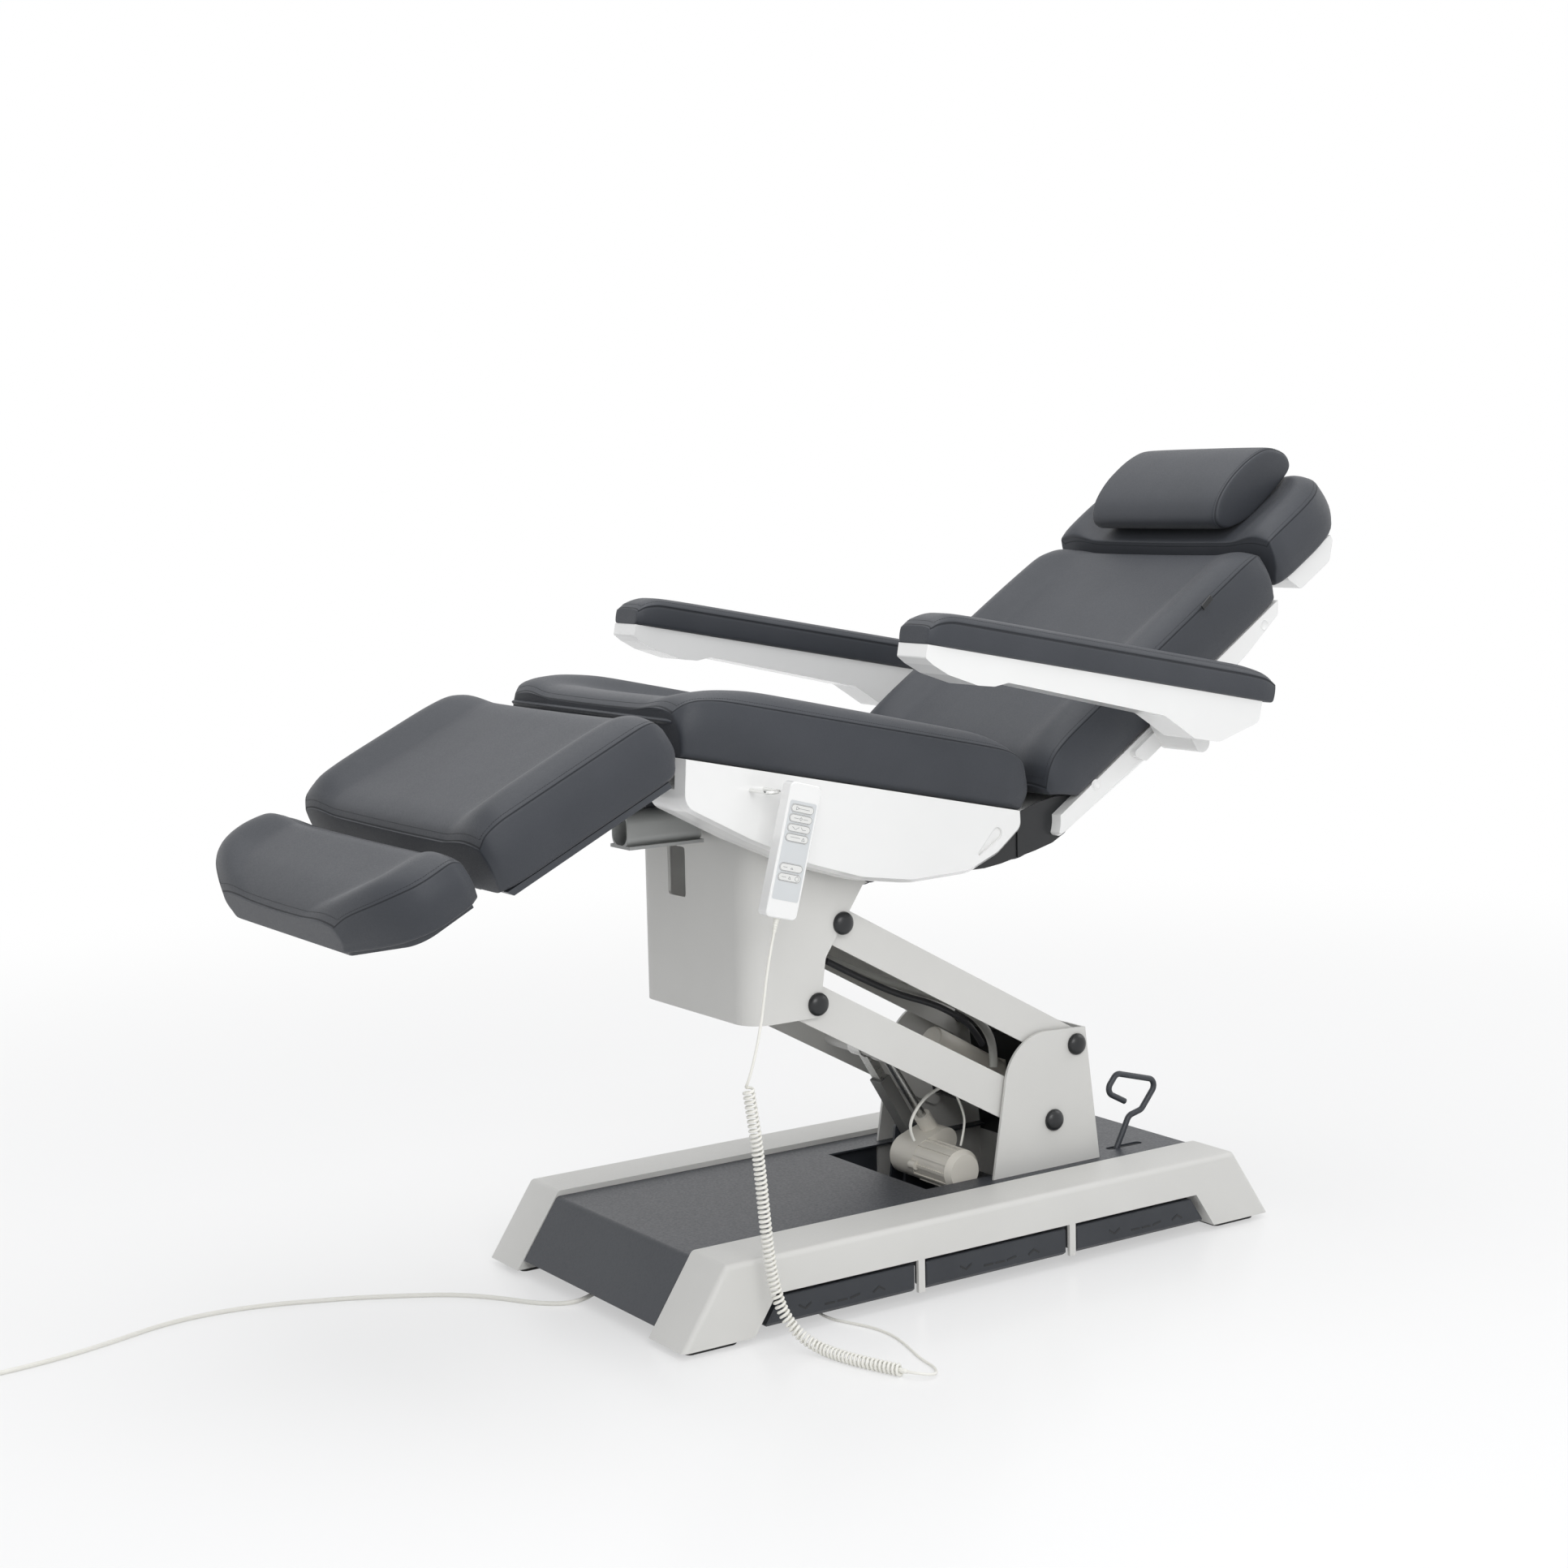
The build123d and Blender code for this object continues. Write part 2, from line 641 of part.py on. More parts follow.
# ------------------------------------------------------------------ lift drive
drive_angle = math.degrees(math.atan2(lift_head_z - drive_z, lift_head_x - drive_x))
drive_reach = math.hypot(lift_head_z - drive_z, lift_head_x - drive_x)
drive_start = (drive_x, drive_z)
with BuildPart() as lift_drive:
    with BuildSketch(section(drive_start, drive_angle, 0)):
        Circle(drive_tube)
    extrude(amount=drive_tube_length)
    with BuildSketch(across(drive_start, drive_angle, drive_eye_width / 2)):
        Circle(drive_eye)
    extrude(amount=drive_eye_width)
    with BuildSketch(across(drive_start, drive_angle, gear_half)):
        with Locations((motor_along, 0)):
            Circle(gear_neck)
        with Locations((motor_along, motor_aside)):
            Circle(motor_radius - edge_round)
        make_hull()
    extrude(amount=gear_half + gear_half)
    with BuildSketch(across(drive_start, drive_angle, -gear_half)):
        with Locations((motor_along, motor_aside)):
            Circle(motor_radius - motor_rib)
            with PolarLocations(motor_radius - motor_rib, motor_rib_count):
                Rectangle(motor_rib + motor_rib, motor_rib + motor_rib)
    extrude(amount=motor_end - gear_half)
    with BuildSketch(across(drive_start, drive_angle, -motor_end)):
        with Locations((motor_along, motor_aside)):
            Circle(motor_radius)
    extrude(amount=motor_dome, taper=35)
    with BuildSketch(across(drive_start, drive_angle, -gear_half + edge_round)):
        with Locations((motor_along + motor_radius * 0.5, motor_aside + motor_radius * 0.85)):
            Circle(gland_radius)
    extrude(amount=gland_length)
    with BuildSketch(section(drive_start, drive_angle, drive_tube_length)):
        Circle(drive_rod + running)
    extrude(amount=-drive_bore_depth, mode=Mode.SUBTRACT)
    with BuildSketch(across(drive_start, drive_angle, gear_half + overrun)):
        Circle(drive_pin + running)
    extrude(amount=gear_half + gear_half + overrun + overrun, mode=Mode.SUBTRACT)
lift_drive.part.label = "lift_drive"
with BuildPart() as lift_rod:
    with BuildSketch(section(drive_start, drive_angle, drive_tube_length - rod_inside)):
        Circle(drive_rod)
    extrude(amount=drive_reach - drive_tube_length + rod_inside)
    with BuildSketch(across(drive_start, drive_angle, drive_eye_width / 2)):
        with Locations((drive_reach, 0)):
            Circle(drive_eye)
    extrude(amount=drive_eye_width)
lift_rod.part.label = "lift_rod"

# ------------------------------------------------------------------ prop
prop_angle = math.degrees(math.atan2(lift_head_z - prop_z, lift_head_x - prop_x))
prop_reach = math.hypot(lift_head_z - prop_z, lift_head_x - prop_x)
prop_start = (prop_x, prop_z)
with BuildPart() as prop_sleeve_piece:
    with BuildSketch(across(prop_start, prop_angle, prop_side + prop_width / 2)):
        with BuildLine():
            FilletPolyline((-prop_depth / 2 - edge_round, -prop_depth / 2), (prop_sleeve, -prop_depth / 2),
                           (prop_sleeve, prop_depth / 2), (-prop_depth / 2 - edge_round, prop_depth / 2),
                           radius=[prop_depth / 3, 0, 0, prop_depth / 3], close=True)
        make_face()
    extrude(amount=prop_width)
    with BuildSketch(section(prop_start, prop_angle, prop_sleeve)):
        with Locations((prop_side, 0)):
            Rectangle(prop_width - prop_wall - prop_wall, prop_depth - prop_wall - prop_wall)
    extrude(amount=-(prop_sleeve - prop_depth), mode=Mode.SUBTRACT)
    with BuildSketch(across(prop_start, prop_angle, prop_side + prop_width)):
        Circle(shaft_radius + running)
    extrude(amount=prop_width + prop_width, mode=Mode.SUBTRACT)
prop_sleeve_piece.part.label = "prop_sleeve"
with BuildPart() as prop_rod:
    with BuildSketch(section(prop_start, prop_angle, prop_sleeve - prop_inner)):
        with Locations((prop_side, 0)):
            Rectangle(prop_width - prop_wall - prop_wall - running - running,
                      prop_depth - prop_wall - prop_wall - running - running)
    extrude(amount=prop_reach - prop_sleeve + prop_inner)
    with BuildSketch(across(prop_start, prop_angle, prop_side + prop_width / 2)):
        with Locations((prop_reach, 0)):
            Circle(drive_eye)
    extrude(amount=prop_width)
prop_rod.part.label = "prop_rod"

# ------------------------------------------------------------------ second drive behind the arms
rear_angle = math.degrees(math.atan2(rear_motor_tip_z - rear_motor_z, rear_motor_tip_x - rear_motor_x))
rear_reach = math.hypot(rear_motor_tip_z - rear_motor_z, rear_motor_tip_x - rear_motor_x)
panel_inner_low = (tower_rear - thin_sheet, cover_top)
panel_inner_high = (tower_top_rear - thin_sheet, tower_top - tower_lip)
with BuildPart() as rear_drive:
    rear_plane = section((rear_motor_x, rear_motor_z), rear_angle, 0)
    with BuildSketch(rear_plane):
        with Locations((rear_motor_side, 0)):
            Circle(rear_motor_radius)
    extrude(amount=rear_reach)
    fillet(rear_drive.edges().sort_by(Axis.X)[0], edge_round + edge_round)
    rise = (rear_motor_z - cover_top) / (panel_inner_high[1] - cover_top)
    panel_x = panel_inner_low[0] + (panel_inner_high[0] - panel_inner_low[0]) * rise
    lean_x = (panel_inner_high[0] - panel_inner_low[0]) / (panel_inner_high[1] - panel_inner_low[1])
    with BuildSketch(Plane.XZ.offset(-(rear_motor_side + rear_motor_radius / 2))):
        face_of([(panel_x - lean_x * rear_motor_radius, rear_motor_z - rear_motor_radius),
                 (panel_x + lean_x * rear_motor_radius, rear_motor_z + rear_motor_radius),
                 (rear_motor_x - rear_motor_radius / 2, rear_motor_z + rear_motor_radius / 2),
                 (rear_motor_x - rear_motor_radius, rear_motor_z - rear_motor_radius / 2)])
    extrude(amount=rear_motor_radius)
rear_drive.part.label = "rear_drive"

# ------------------------------------------------------------------ column box
with BuildPart() as column_box:
    with BuildSketch(Plane.XY.offset(box_bottom)):
        with BuildLine() as edge:
            FilletPolyline((tilt_pivot[0] + tilt_lug, -tower_outer), (-box_front, -tower_outer),
                           (-box_front, tower_outer), (tilt_pivot[0] + tilt_lug, tower_outer), radius=box_round)
            offset(amount=sheet, side=Side.RIGHT, closed=True)
        make_face()
    extrude(amount=tilt_pivot[1] + tower_outer - box_bottom)
    with BuildSketch(Plane.XZ.offset(-tower_outer - overrun)):
        face_of([(-box_front - overrun, box_bottom), (box_lower[0] + boss_radius / 5, box_bottom),
                 (box_upper[0] - boss_radius - boss_radius - sheet / 2, box_upper[1] - boss_radius * 3.3),
                 (box_upper[0] + tilt_lug * 1.4, tilt_pivot[1] - tilt_lug * 0.7),
                 (tilt_pivot[0] + tilt_lug, tilt_pivot[1] - tilt_lug * 0.4),
                 (tilt_pivot[0] + tilt_lug, tilt_pivot[1] + tilt_lug),
                 (tilt_pivot[0] - tilt_lug * 0.6, tilt_pivot[1] + tilt_lug),
                 (box_upper[0] - boss_radius, tilt_pivot[1] + tilt_lug + tilt_lug),
                 (-box_front - overrun, tilt_pivot[1] + tilt_lug * 3)],
                [0, 0, boss_radius, 0, tilt_lug * 0.5, tilt_lug * 0.9, 0, boss_radius, 0])
    extrude(amount=tower_outer + tower_outer + overrun + overrun, mode=Mode.INTERSECT)
    with BuildSketch(Plane.XY.offset(box_bottom)):
        with Locations((-box_front + sheet / 2 + box_floor_length / 2, 0)):
            Rectangle(box_floor_length, tower_inner + tower_inner - box_round)
    extrude(amount=sheet)
    with BuildSketch(Plane.YZ.offset(-box_front - overrun)):
        with Locations((box_slot_near + box_slot_width / 2, box_slot_low + box_slot_height / 2)):
            RectangleRounded(box_slot_width, box_slot_height, sheet)
    extrude(amount=overrun + sheet + sheet, mode=Mode.SUBTRACT)
    with BuildSketch(Plane.XZ.offset(-tower_outer - overrun)):
        with Locations(box_lower, box_upper, tilt_pivot):
            Circle(shaft_radius + running)
    extrude(amount=tower_outer + tower_outer + overrun + overrun, mode=Mode.SUBTRACT)
column_box.part.label = "column_box"
shafts.append(make_shaft(tilt_pivot, "shaft_tilt"))

# ------------------------------------------------------------------ seat frame
board_top = -seat_thick - seat_gap
board_low = board_top - board_thick
drum_start = across(back_pivot, 0, drum_half)
back_pin_end = back_arm_side + back_arm_width + side_gap
with BuildPart() as seat_frame:
    with BuildSketch(across(seat_start, seat_angle, seat_board_half)):
        face_of([(seat_board_front, board_low), (seat_length - seat_board_rear, board_low),
                 (seat_length - seat_board_rear, board_top), (seat_board_front, board_top)])
    extrude(amount=seat_board_half + seat_board_half)
    for side in (-1, 1):
        with BuildSketch(across(seat_start, seat_angle, side * rail_bar_side + rail_bar_width / 2)):
            face_of([(rail_bar_front, board_low - rail_bar_height), (seat_length - rail_bar_rear, board_low - rail_bar_height),
                     (seat_length - rail_bar_rear, board_top), (rail_bar_front, board_top)])
        extrude(amount=rail_bar_width)
        # lugs down to the tilt shaft
        lug_low = side * (arm_inner - side_gap - lug_sheet / 2)
        with BuildSketch(across(seat_start, seat_angle, lug_low + lug_sheet / 2)):
            with Locations((tilt_u, -tilt_n)):
                Circle(tilt_lug - sheet)
            with Locations((tilt_u, board_low)):
                Rectangle(tilt_lug * 4, board_thick)
            make_hull()
        extrude(amount=lug_sheet)
        # lugs and pins of the leg hinge
        with BuildSketch(across(seat_start, seat_angle, side * (leg_lug_side + lug_width / 2) + lug_width / 2)):
            with Locations((leg_hinge_u, -leg_hinge_n)):
                Circle(hinge_eye)
            with Locations((seat_board_front + hinge_eye, board_low + board_thick / 2)):
                Rectangle(hinge_eye * 2, board_thick)
            make_hull()
        extrude(amount=lug_width)
        with BuildSketch(across(leg_pivot, 0, side * (leg_lug_side + lug_width / 2))):
            Circle(hinge_pin)
        extrude(amount=-side * (lug_width * 1.5 + side_gap + side_gap))
    # drum round the back hinge, with its pins
    with BuildSketch(drum_start):
        with BuildLine():
            a = [math.radians(t) for t in (drum_from, (drum_from + drum_to) / 2, drum_to)]
            rim = [(drum_radius * math.cos(t), drum_radius * math.sin(t)) for t in a]
            ThreePointArc(*rim)
            Line(rim[2], (drum_radius * 0.25, -drum_radius * 0.2))
            Line((drum_radius * 0.25, -drum_radius * 0.2), (-drum_radius * 0.5, -drum_radius * 0.05))
            Line((-drum_radius * 0.5, -drum_radius * 0.05), rim[0])
        make_face()
    extrude(amount=drum_half + drum_half)
    with BuildSketch(across(seat_start, seat_angle, pod_inner - side_gap)):
        face_of([(seat_length - seat_board_rear - rail_bar_width * 2, board_low),
                 (seat_length - seat_board_rear, board_low),
                 (seat_length - seat_board_rear, -back_hinge_n - drum_radius * 0.4),
                 (seat_length - seat_board_rear - rail_bar_width * 2, -back_hinge_n - drum_radius * 0.3)])
    extrude(amount=pod_inner + pod_inner - side_gap - side_gap)
    with BuildSketch(across(back_pivot, 0, back_pin_end)):
        Circle(back_pin)
    extrude(amount=back_pin_end + back_pin_end)
    with BuildSketch(across(tilt_pivot, 0, tower_outer + overrun)):
        Circle(shaft_radius + running)
    extrude(amount=tower_outer + tower_outer + overrun + overrun, mode=Mode.SUBTRACT)
seat_frame.part.label = "seat_frame"

# ------------------------------------------------------------------ seat cover
# Lower outline of a side pod, as shares of its length and depth from its top front corner, with the
# share of the common radius at each corner; then the pod's stations from the inside out.
pod_outline_shares = [(0.0, 0.0, 0.0), (0.016, 0.50, 1.2), (0.208, 0.75, 6.0), (0.385, 0.93, 6.0), (0.54, 1.0, 5.0),
                      (0.689, 0.96, 5.0), (0.858, 0.77, 3.0), (0.94, 0.51, 2.0), (1.0, 0.18, 0.8), (0.99, 0.0, 0.0)]
pod_station_shares = [(0.0, 1.06, 1.07), (0.40, 1.06, 1.07), (0.78, 1.03, 1.045), (1.0, 1.0, 1.0)]
pod_top = board_top
with BuildPart() as pod_near:
    for side_share, long_share, deep_share in pod_station_shares:
        station_y = -(pod_inner + (pod_half - pod_inner) * side_share)
        with BuildSketch(across(seat_start, seat_angle, station_y)):
            face_of([(pod_front_u + a * pod_length * long_share, pod_top - b * pod_depth * deep_share)
                     for a, b, r in pod_outline_shares], [r * pod_round for a, b, r in pod_outline_shares])
    loft(ruled=True)
    with BuildSketch(across(seat_start, seat_angle, 0)):
        face_of([(seat_board_front - seat_gap, board_low - seat_gap),
                 (seat_length + overrun, board_low - seat_gap), (seat_length + overrun, pod_top + overrun),
                 (seat_board_front - seat_gap, pod_top + overrun)])
    extrude(amount=seat_board_half + seat_gap, mode=Mode.SUBTRACT)
    # room for the leg hinge's lug and the leg's own arm beside it
    with BuildSketch(across(seat_start, seat_angle, -leg_lug_side + lug_width / 2)):
        with Locations((leg_hinge_u, -leg_hinge_n)):
            Circle(hinge_eye + hinge_eye)
        with Locations((leg_hinge_u + overrun, -leg_hinge_n)):
            Circle(hinge_eye + edge_round)
        make_hull()
    extrude(amount=lug_width * 3.5, mode=Mode.SUBTRACT)
    # room for the drum and the back's hinge arms
    with BuildSketch(across(back_pivot, 0, 0)):
        Circle(drum_radius + sheet)
    extrude(amount=back_pin_end + edge_round, mode=Mode.SUBTRACT)
    # finger recess at the rear of the side wall
    with BuildSketch(across(seat_start, seat_angle, -pod_half - overrun)):
        with Locations((pod_front_u + pod_length * 0.93, pod_top - pod_depth * 0.30)):
            Circle(pod_round * 0.42)
        with Locations((pod_front_u + pod_length * 0.885, pod_top - pod_depth * 0.56)):
            Circle(pod_round * 0.12)
        make_hull()
    extrude(amount=-(overrun + sheet), mode=Mode.SUBTRACT)
with BuildPart() as seat_cover:
    add(pod_near.part)
    mirror(about=Plane.XZ)
    with BuildSketch(across(seat_start, seat_angle, pod_inner + sheet)):
        face_of([(pod_front_u, board_low - dash_depth), (pod_front_u + dash_sheet, board_low - dash_depth),
                 (pod_front_u + dash_sheet, pod_top), (pod_front_u, pod_top)])
    extrude(amount=pod_inner + pod_inner + sheet + sheet)
seat_cover.part.label = "seat_cover"


# ------------------------------------------------------------------ cushions
# Each row is a station: shares of the length, of the half width, of the thickness up to the seam,
# and of the crown, from one end to the other.
def cushion_stack(start, angle, first, length, half, thick, top, crown, dip, bolster, rows):
    """Loft through the stations of one cushion."""
    stations = []
    for along, wide, seam_share, crown_share in rows:
        with BuildSketch(section(start, angle, first + along * length)) as station:
            cushion_face(half * wide, top - thick, top - thick * (1 - seam_share), crown * crown_share,
                         dip * crown_share, bolster, thick * corner_share)
        stations.append(station.sketch)
    loft(stations, ruled=True)


corner_share = 0.14
seat_shares = [(0.0, 0.90, 0.68, 0.30), (0.022, 0.955, 0.87, 0.34), (0.055, 0.985, 0.96, 0.42),
               (0.115, 1.0, 1.0, 0.72), (0.225, 1.0, 1.0, 1.05), (0.55, 1.0, 1.0, 1.0), (0.850, 1.0, 1.0, 0.90),
               (0.912, 1.0, 0.985, 0.60), (0.965, 0.985, 0.87, 0.36), (1.0, 0.95, 0.55, 0.30)]
leg_shares = [(0.0, 0.955, 0.76, 0.30), (0.045, 0.985, 0.93, 0.42), (0.14, 1.0, 1.0, 0.85), (0.30, 1.0, 1.0, 1.0),
              (0.70, 1.0, 1.0, 1.0), (0.86, 1.0, 1.0, 0.80), (0.945, 0.985, 0.95, 0.42), (1.0, 0.935, 0.72, 0.30)]
foot_shares = [(0.0, 0.62, 0.60, 0.25), (0.085, 0.72, 0.80, 0.40), (0.215, 0.855, 0.93, 0.66),
               (0.39, 0.957, 1.0, 0.92), (0.62, 1.0, 1.0, 1.0), (0.87, 0.99, 1.0, 0.72), (1.0, 0.947, 0.82, 0.36)]
back_shares = [(0.0, 0.95, 0.50, 0.30), (0.03, 0.985, 0.80, 0.36), (0.075, 1.0, 0.96, 0.52), (0.15, 1.0, 1.0, 0.85),
               (0.28, 1.0, 1.0, 1.0), (0.70, 1.0, 1.0, 1.0), (0.90, 1.0, 1.0, 0.85), (0.975, 0.985, 0.96, 0.40),
               (1.0, 0.95, 0.86, 0.28)]
head_shares = [(0.0, 0.955, 0.86, 0.28), (0.05, 0.985, 0.96, 0.42), (0.18, 1.0, 1.0, 0.85), (0.45, 1.0, 1.0, 1.0),
               (0.64, 0.985, 1.0, 1.0), (0.80, 0.91, 1.0, 0.80), (0.92, 0.77, 0.93, 0.50), (1.0, 0.60, 0.74, 0.26)]

with BuildPart() as seat_cushion:
    cushion_stack(seat_start, seat_angle, 0, seat_length, seat_half, seat_thick, 0, seat_crown, seat_dip,
                  seat_bolster, seat_shares)
    with BuildSketch(across(seat_start, seat_angle, seat_half + overrun)):
        face_of([(-overrun, -seat_thick - overrun), (seat_crown, -seat_thick - overrun),
                 (seat_crown, -seat_thick), (0, -seat_thick * 0.28), (-overrun, -seat_thick * 0.28)])
    extrude(amount=seat_half + seat_half + overrun + overrun, mode=Mode.SUBTRACT)
seat_cushion.part.label = "seat_cushion"

leg_first = leg_hinge_along - leg_length + edge_round
with BuildPart() as leg_cushion:
    cushion_stack(leg_start, leg_angle, leg_first, leg_length, leg_half, leg_thick, 0, leg_crown, leg_dip,
                  leg_bolster, leg_shares)
    with BuildSketch(across(leg_start, leg_angle, leg_half + overrun)):
        face_of([(leg_hinge_along - leg_crown, -leg_thick - overrun), (leg_hinge_along - leg_crown, -leg_thick),
                 (leg_hinge_along + edge_round, -leg_thick * 0.72), (leg_hinge_along + overrun, -leg_thick * 0.72),
                 (leg_hinge_along + overrun, -leg_thick - overrun)])
    extrude(amount=leg_half + leg_half + overrun + overrun, mode=Mode.SUBTRACT)
leg_cushion.part.label = "leg_cushion"

foot_first = -foot_start - foot_length_all
with BuildPart() as foot_cushion:
    cushion_stack(leg_start, leg_angle, foot_first, foot_length_all, foot_half, foot_thick, -foot_seam,
                  foot_crown, foot_dip, foot_bolster, foot_shares)
foot_cushion.part.label = "foot_cushion"

back_first = -back_length - edge_round
with BuildPart() as back_cushion:
    cushion_stack(back_start, back_angle, back_first, back_length, back_half, back_thick, 0, back_crown,
                  back_dip, back_bolster, back_shares)
    # the lower end draws back under its nose, and the upper end leans away from the head part
    with BuildSketch(across(back_start, back_angle, back_half + overrun)):
        face_of([(back_first - overrun, -back_thick - overrun), (back_first + back_crown * 2.4, -back_thick - overrun),
                 (back_first + back_crown * 2.2, -back_thick), (back_first + back_crown * 0.4, -back_thick * 0.66),
                 (back_first - overrun, -back_thick * 0.66)])
        face_of([(overrun, -back_thick - overrun), (-edge_round * 13, -back_thick - overrun),
                 (-edge_round * 13, -back_thick), (-edge_round, -back_thick * 0.15), (overrun, -back_thick * 0.15)])
    extrude(amount=back_half + back_half + overrun + overrun, mode=Mode.SUBTRACT)
back_cushion.part.label = "back_cushion"

with BuildPart() as head_cushion:
    cushion_stack(head_start, head_angle, -head_crown, head_length + head_crown, head_half, head_thick, 0,
                  head_crown, head_dip, head_bolster, head_shares)
    with BuildSketch(across(head_start, head_angle, head_half + overrun)):
        face_of([(-head_crown, -head_thick * 0.80), (0, head_crown * 0.30), (0, head_crown + overrun),
                 (-head_crown - overrun, head_crown + overrun), (-head_crown - overrun, -head_thick * 0.80)])
        face_of([(head_length * 0.55, -head_thick), (head_length * 0.70, -head_thick * 0.84),
                 (head_length, -head_thick * 0.16), (head_length + overrun, -head_thick * 0.16),
                 (head_length + overrun, -head_thick - overrun), (head_length * 0.55, -head_thick - overrun)])
    extrude(amount=head_half + head_half + overrun + overrun, mode=Mode.SUBTRACT)
head_cushion.part.label = "head_cushion"

# ------------------------------------------------------------------ leg drive housing, on its hanger
drive_mid = (leg_drive_near + leg_drive_far) / 2
drive_wide = leg_drive_near - leg_drive_far
drive_tall = leg_drive_top - leg_drive_bottom
with BuildPart() as leg_drive:
    with BuildSketch(Plane.YZ.offset(-leg_drive_front)):
        with Locations((-drive_mid, leg_drive_bottom + drive_tall / 2)):
            RectangleRounded(drive_wide, drive_tall, drive_wide * 0.42)
        with Locations((-drive_mid, leg_drive_bottom + sheet / 2)):
            Rectangle(drive_wide + sheet + sheet, sheet)
    extrude(amount=leg_drive_front - leg_drive_rear)
    with BuildSketch(Plane.YZ.offset(-leg_drive_front)):
        with Locations((-drive_mid, leg_drive_bottom + drive_tall / 2)):
            RectangleRounded(drive_wide - sheet, drive_tall - sheet - sheet, drive_wide * 0.36)
    extrude(amount=overrun, mode=Mode.SUBTRACT)
leg_drive.part.label = "leg_drive"


def line_z(start, angle, x, n):
    """Height at x of the line that runs n above a piece."""
    return start[1] + math.tan(math.radians(angle)) * (x - start[0]) + n / math.cos(math.radians(angle))


hanger_front = -leg_drive_front + overrun + sheet
hanger_rear = -leg_drive_rear - sheet
with BuildPart() as seat_frame_full:
    add(seat_frame.part)
    with BuildSketch(Plane.XZ.offset(drive_mid - lug_sheet / 2)):
        face_of([(hanger_front, leg_drive_top), (hanger_rear, leg_drive_top),
                 (hanger_rear, line_z(seat_start, seat_angle, hanger_rear, board_low + board_thick / 2)),
                 (hanger_front, line_z(seat_start, seat_angle, hanger_front, board_low + board_thick / 2))])
    extrude(amount=lug_sheet)
seat_frame_full.part.label = "seat_frame"

# ------------------------------------------------------------------ leg and foot frames
leg_board_top = -leg_thick - seat_gap
leg_board_low = leg_board_top - leg_board_thick
rod_centre = -foot_rod_drop
with BuildPart() as leg_frame:
    with BuildSketch(across(leg_start, leg_angle, leg_board_half)):
        face_of([(leg_first + hinge_eye, leg_board_low), (leg_hinge_along - hinge_eye * 2, leg_board_low),
                 (leg_hinge_along - hinge_eye * 2, leg_board_top), (leg_first + hinge_eye / 2, leg_board_top)])
    extrude(amount=leg_board_half + leg_board_half)
    for side in (-1, 1):
        with BuildSketch(across(leg_start, leg_angle, side * runner_side + runner_size / 2)):
            face_of([(leg_board_thick * 3, rod_centre - runner_size / 2),
                     (leg_hinge_along - hinge_eye * 2, rod_centre - runner_size / 2),
                     (leg_hinge_along - hinge_eye * 2, leg_board_low + edge_round),
                     (leg_board_thick * 3, leg_board_low + edge_round)])
        extrude(amount=runner_size)
        arm_low = side * (leg_lug_side + lug_width * 1.5 + side_gap)
        with BuildSketch(across(leg_start, leg_angle, arm_low + lug_width / 2)):
            with Locations((leg_hinge_along, -leg_hinge_down)):
                Circle(hinge_eye)
            with Locations((leg_hinge_along - hinge_eye * 3.5, leg_board_low + leg_board_thick / 2)):
                Rectangle(hinge_eye, leg_board_thick)
            make_hull()
        extrude(amount=lug_width)
        with BuildSketch(section(leg_start, leg_angle, -overrun)):
            with Locations((side * runner_side, rod_centre)):
                Circle(foot_rod + running)
        extrude(amount=leg_hinge_along + overrun + overrun, mode=Mode.SUBTRACT)
    with BuildSketch(across(leg_pivot, 0, leg_board_half + overrun)):
        Circle(hinge_pin + running)
    extrude(amount=leg_board_half + leg_board_half + overrun + overrun, mode=Mode.SUBTRACT)
    # the cushion's lower edge
    with BuildSketch(across(leg_start, leg_angle, leg_board_half + overrun)):
        face_of([(leg_hinge_along - leg_crown - overrun - overrun, leg_board_top),
                 (leg_hinge_along - leg_crown + seat_gap, leg_board_top),
                 (leg_hinge_along + edge_round + seat_gap, -leg_thick * 0.72),
                 (leg_hinge_along + edge_round + seat_gap, 0),
                 (leg_hinge_along - leg_crown - overrun - overrun, 0)])
    extrude(amount=leg_board_half + leg_board_half + overrun + overrun, mode=Mode.SUBTRACT)
leg_frame.part.label = "leg_frame"

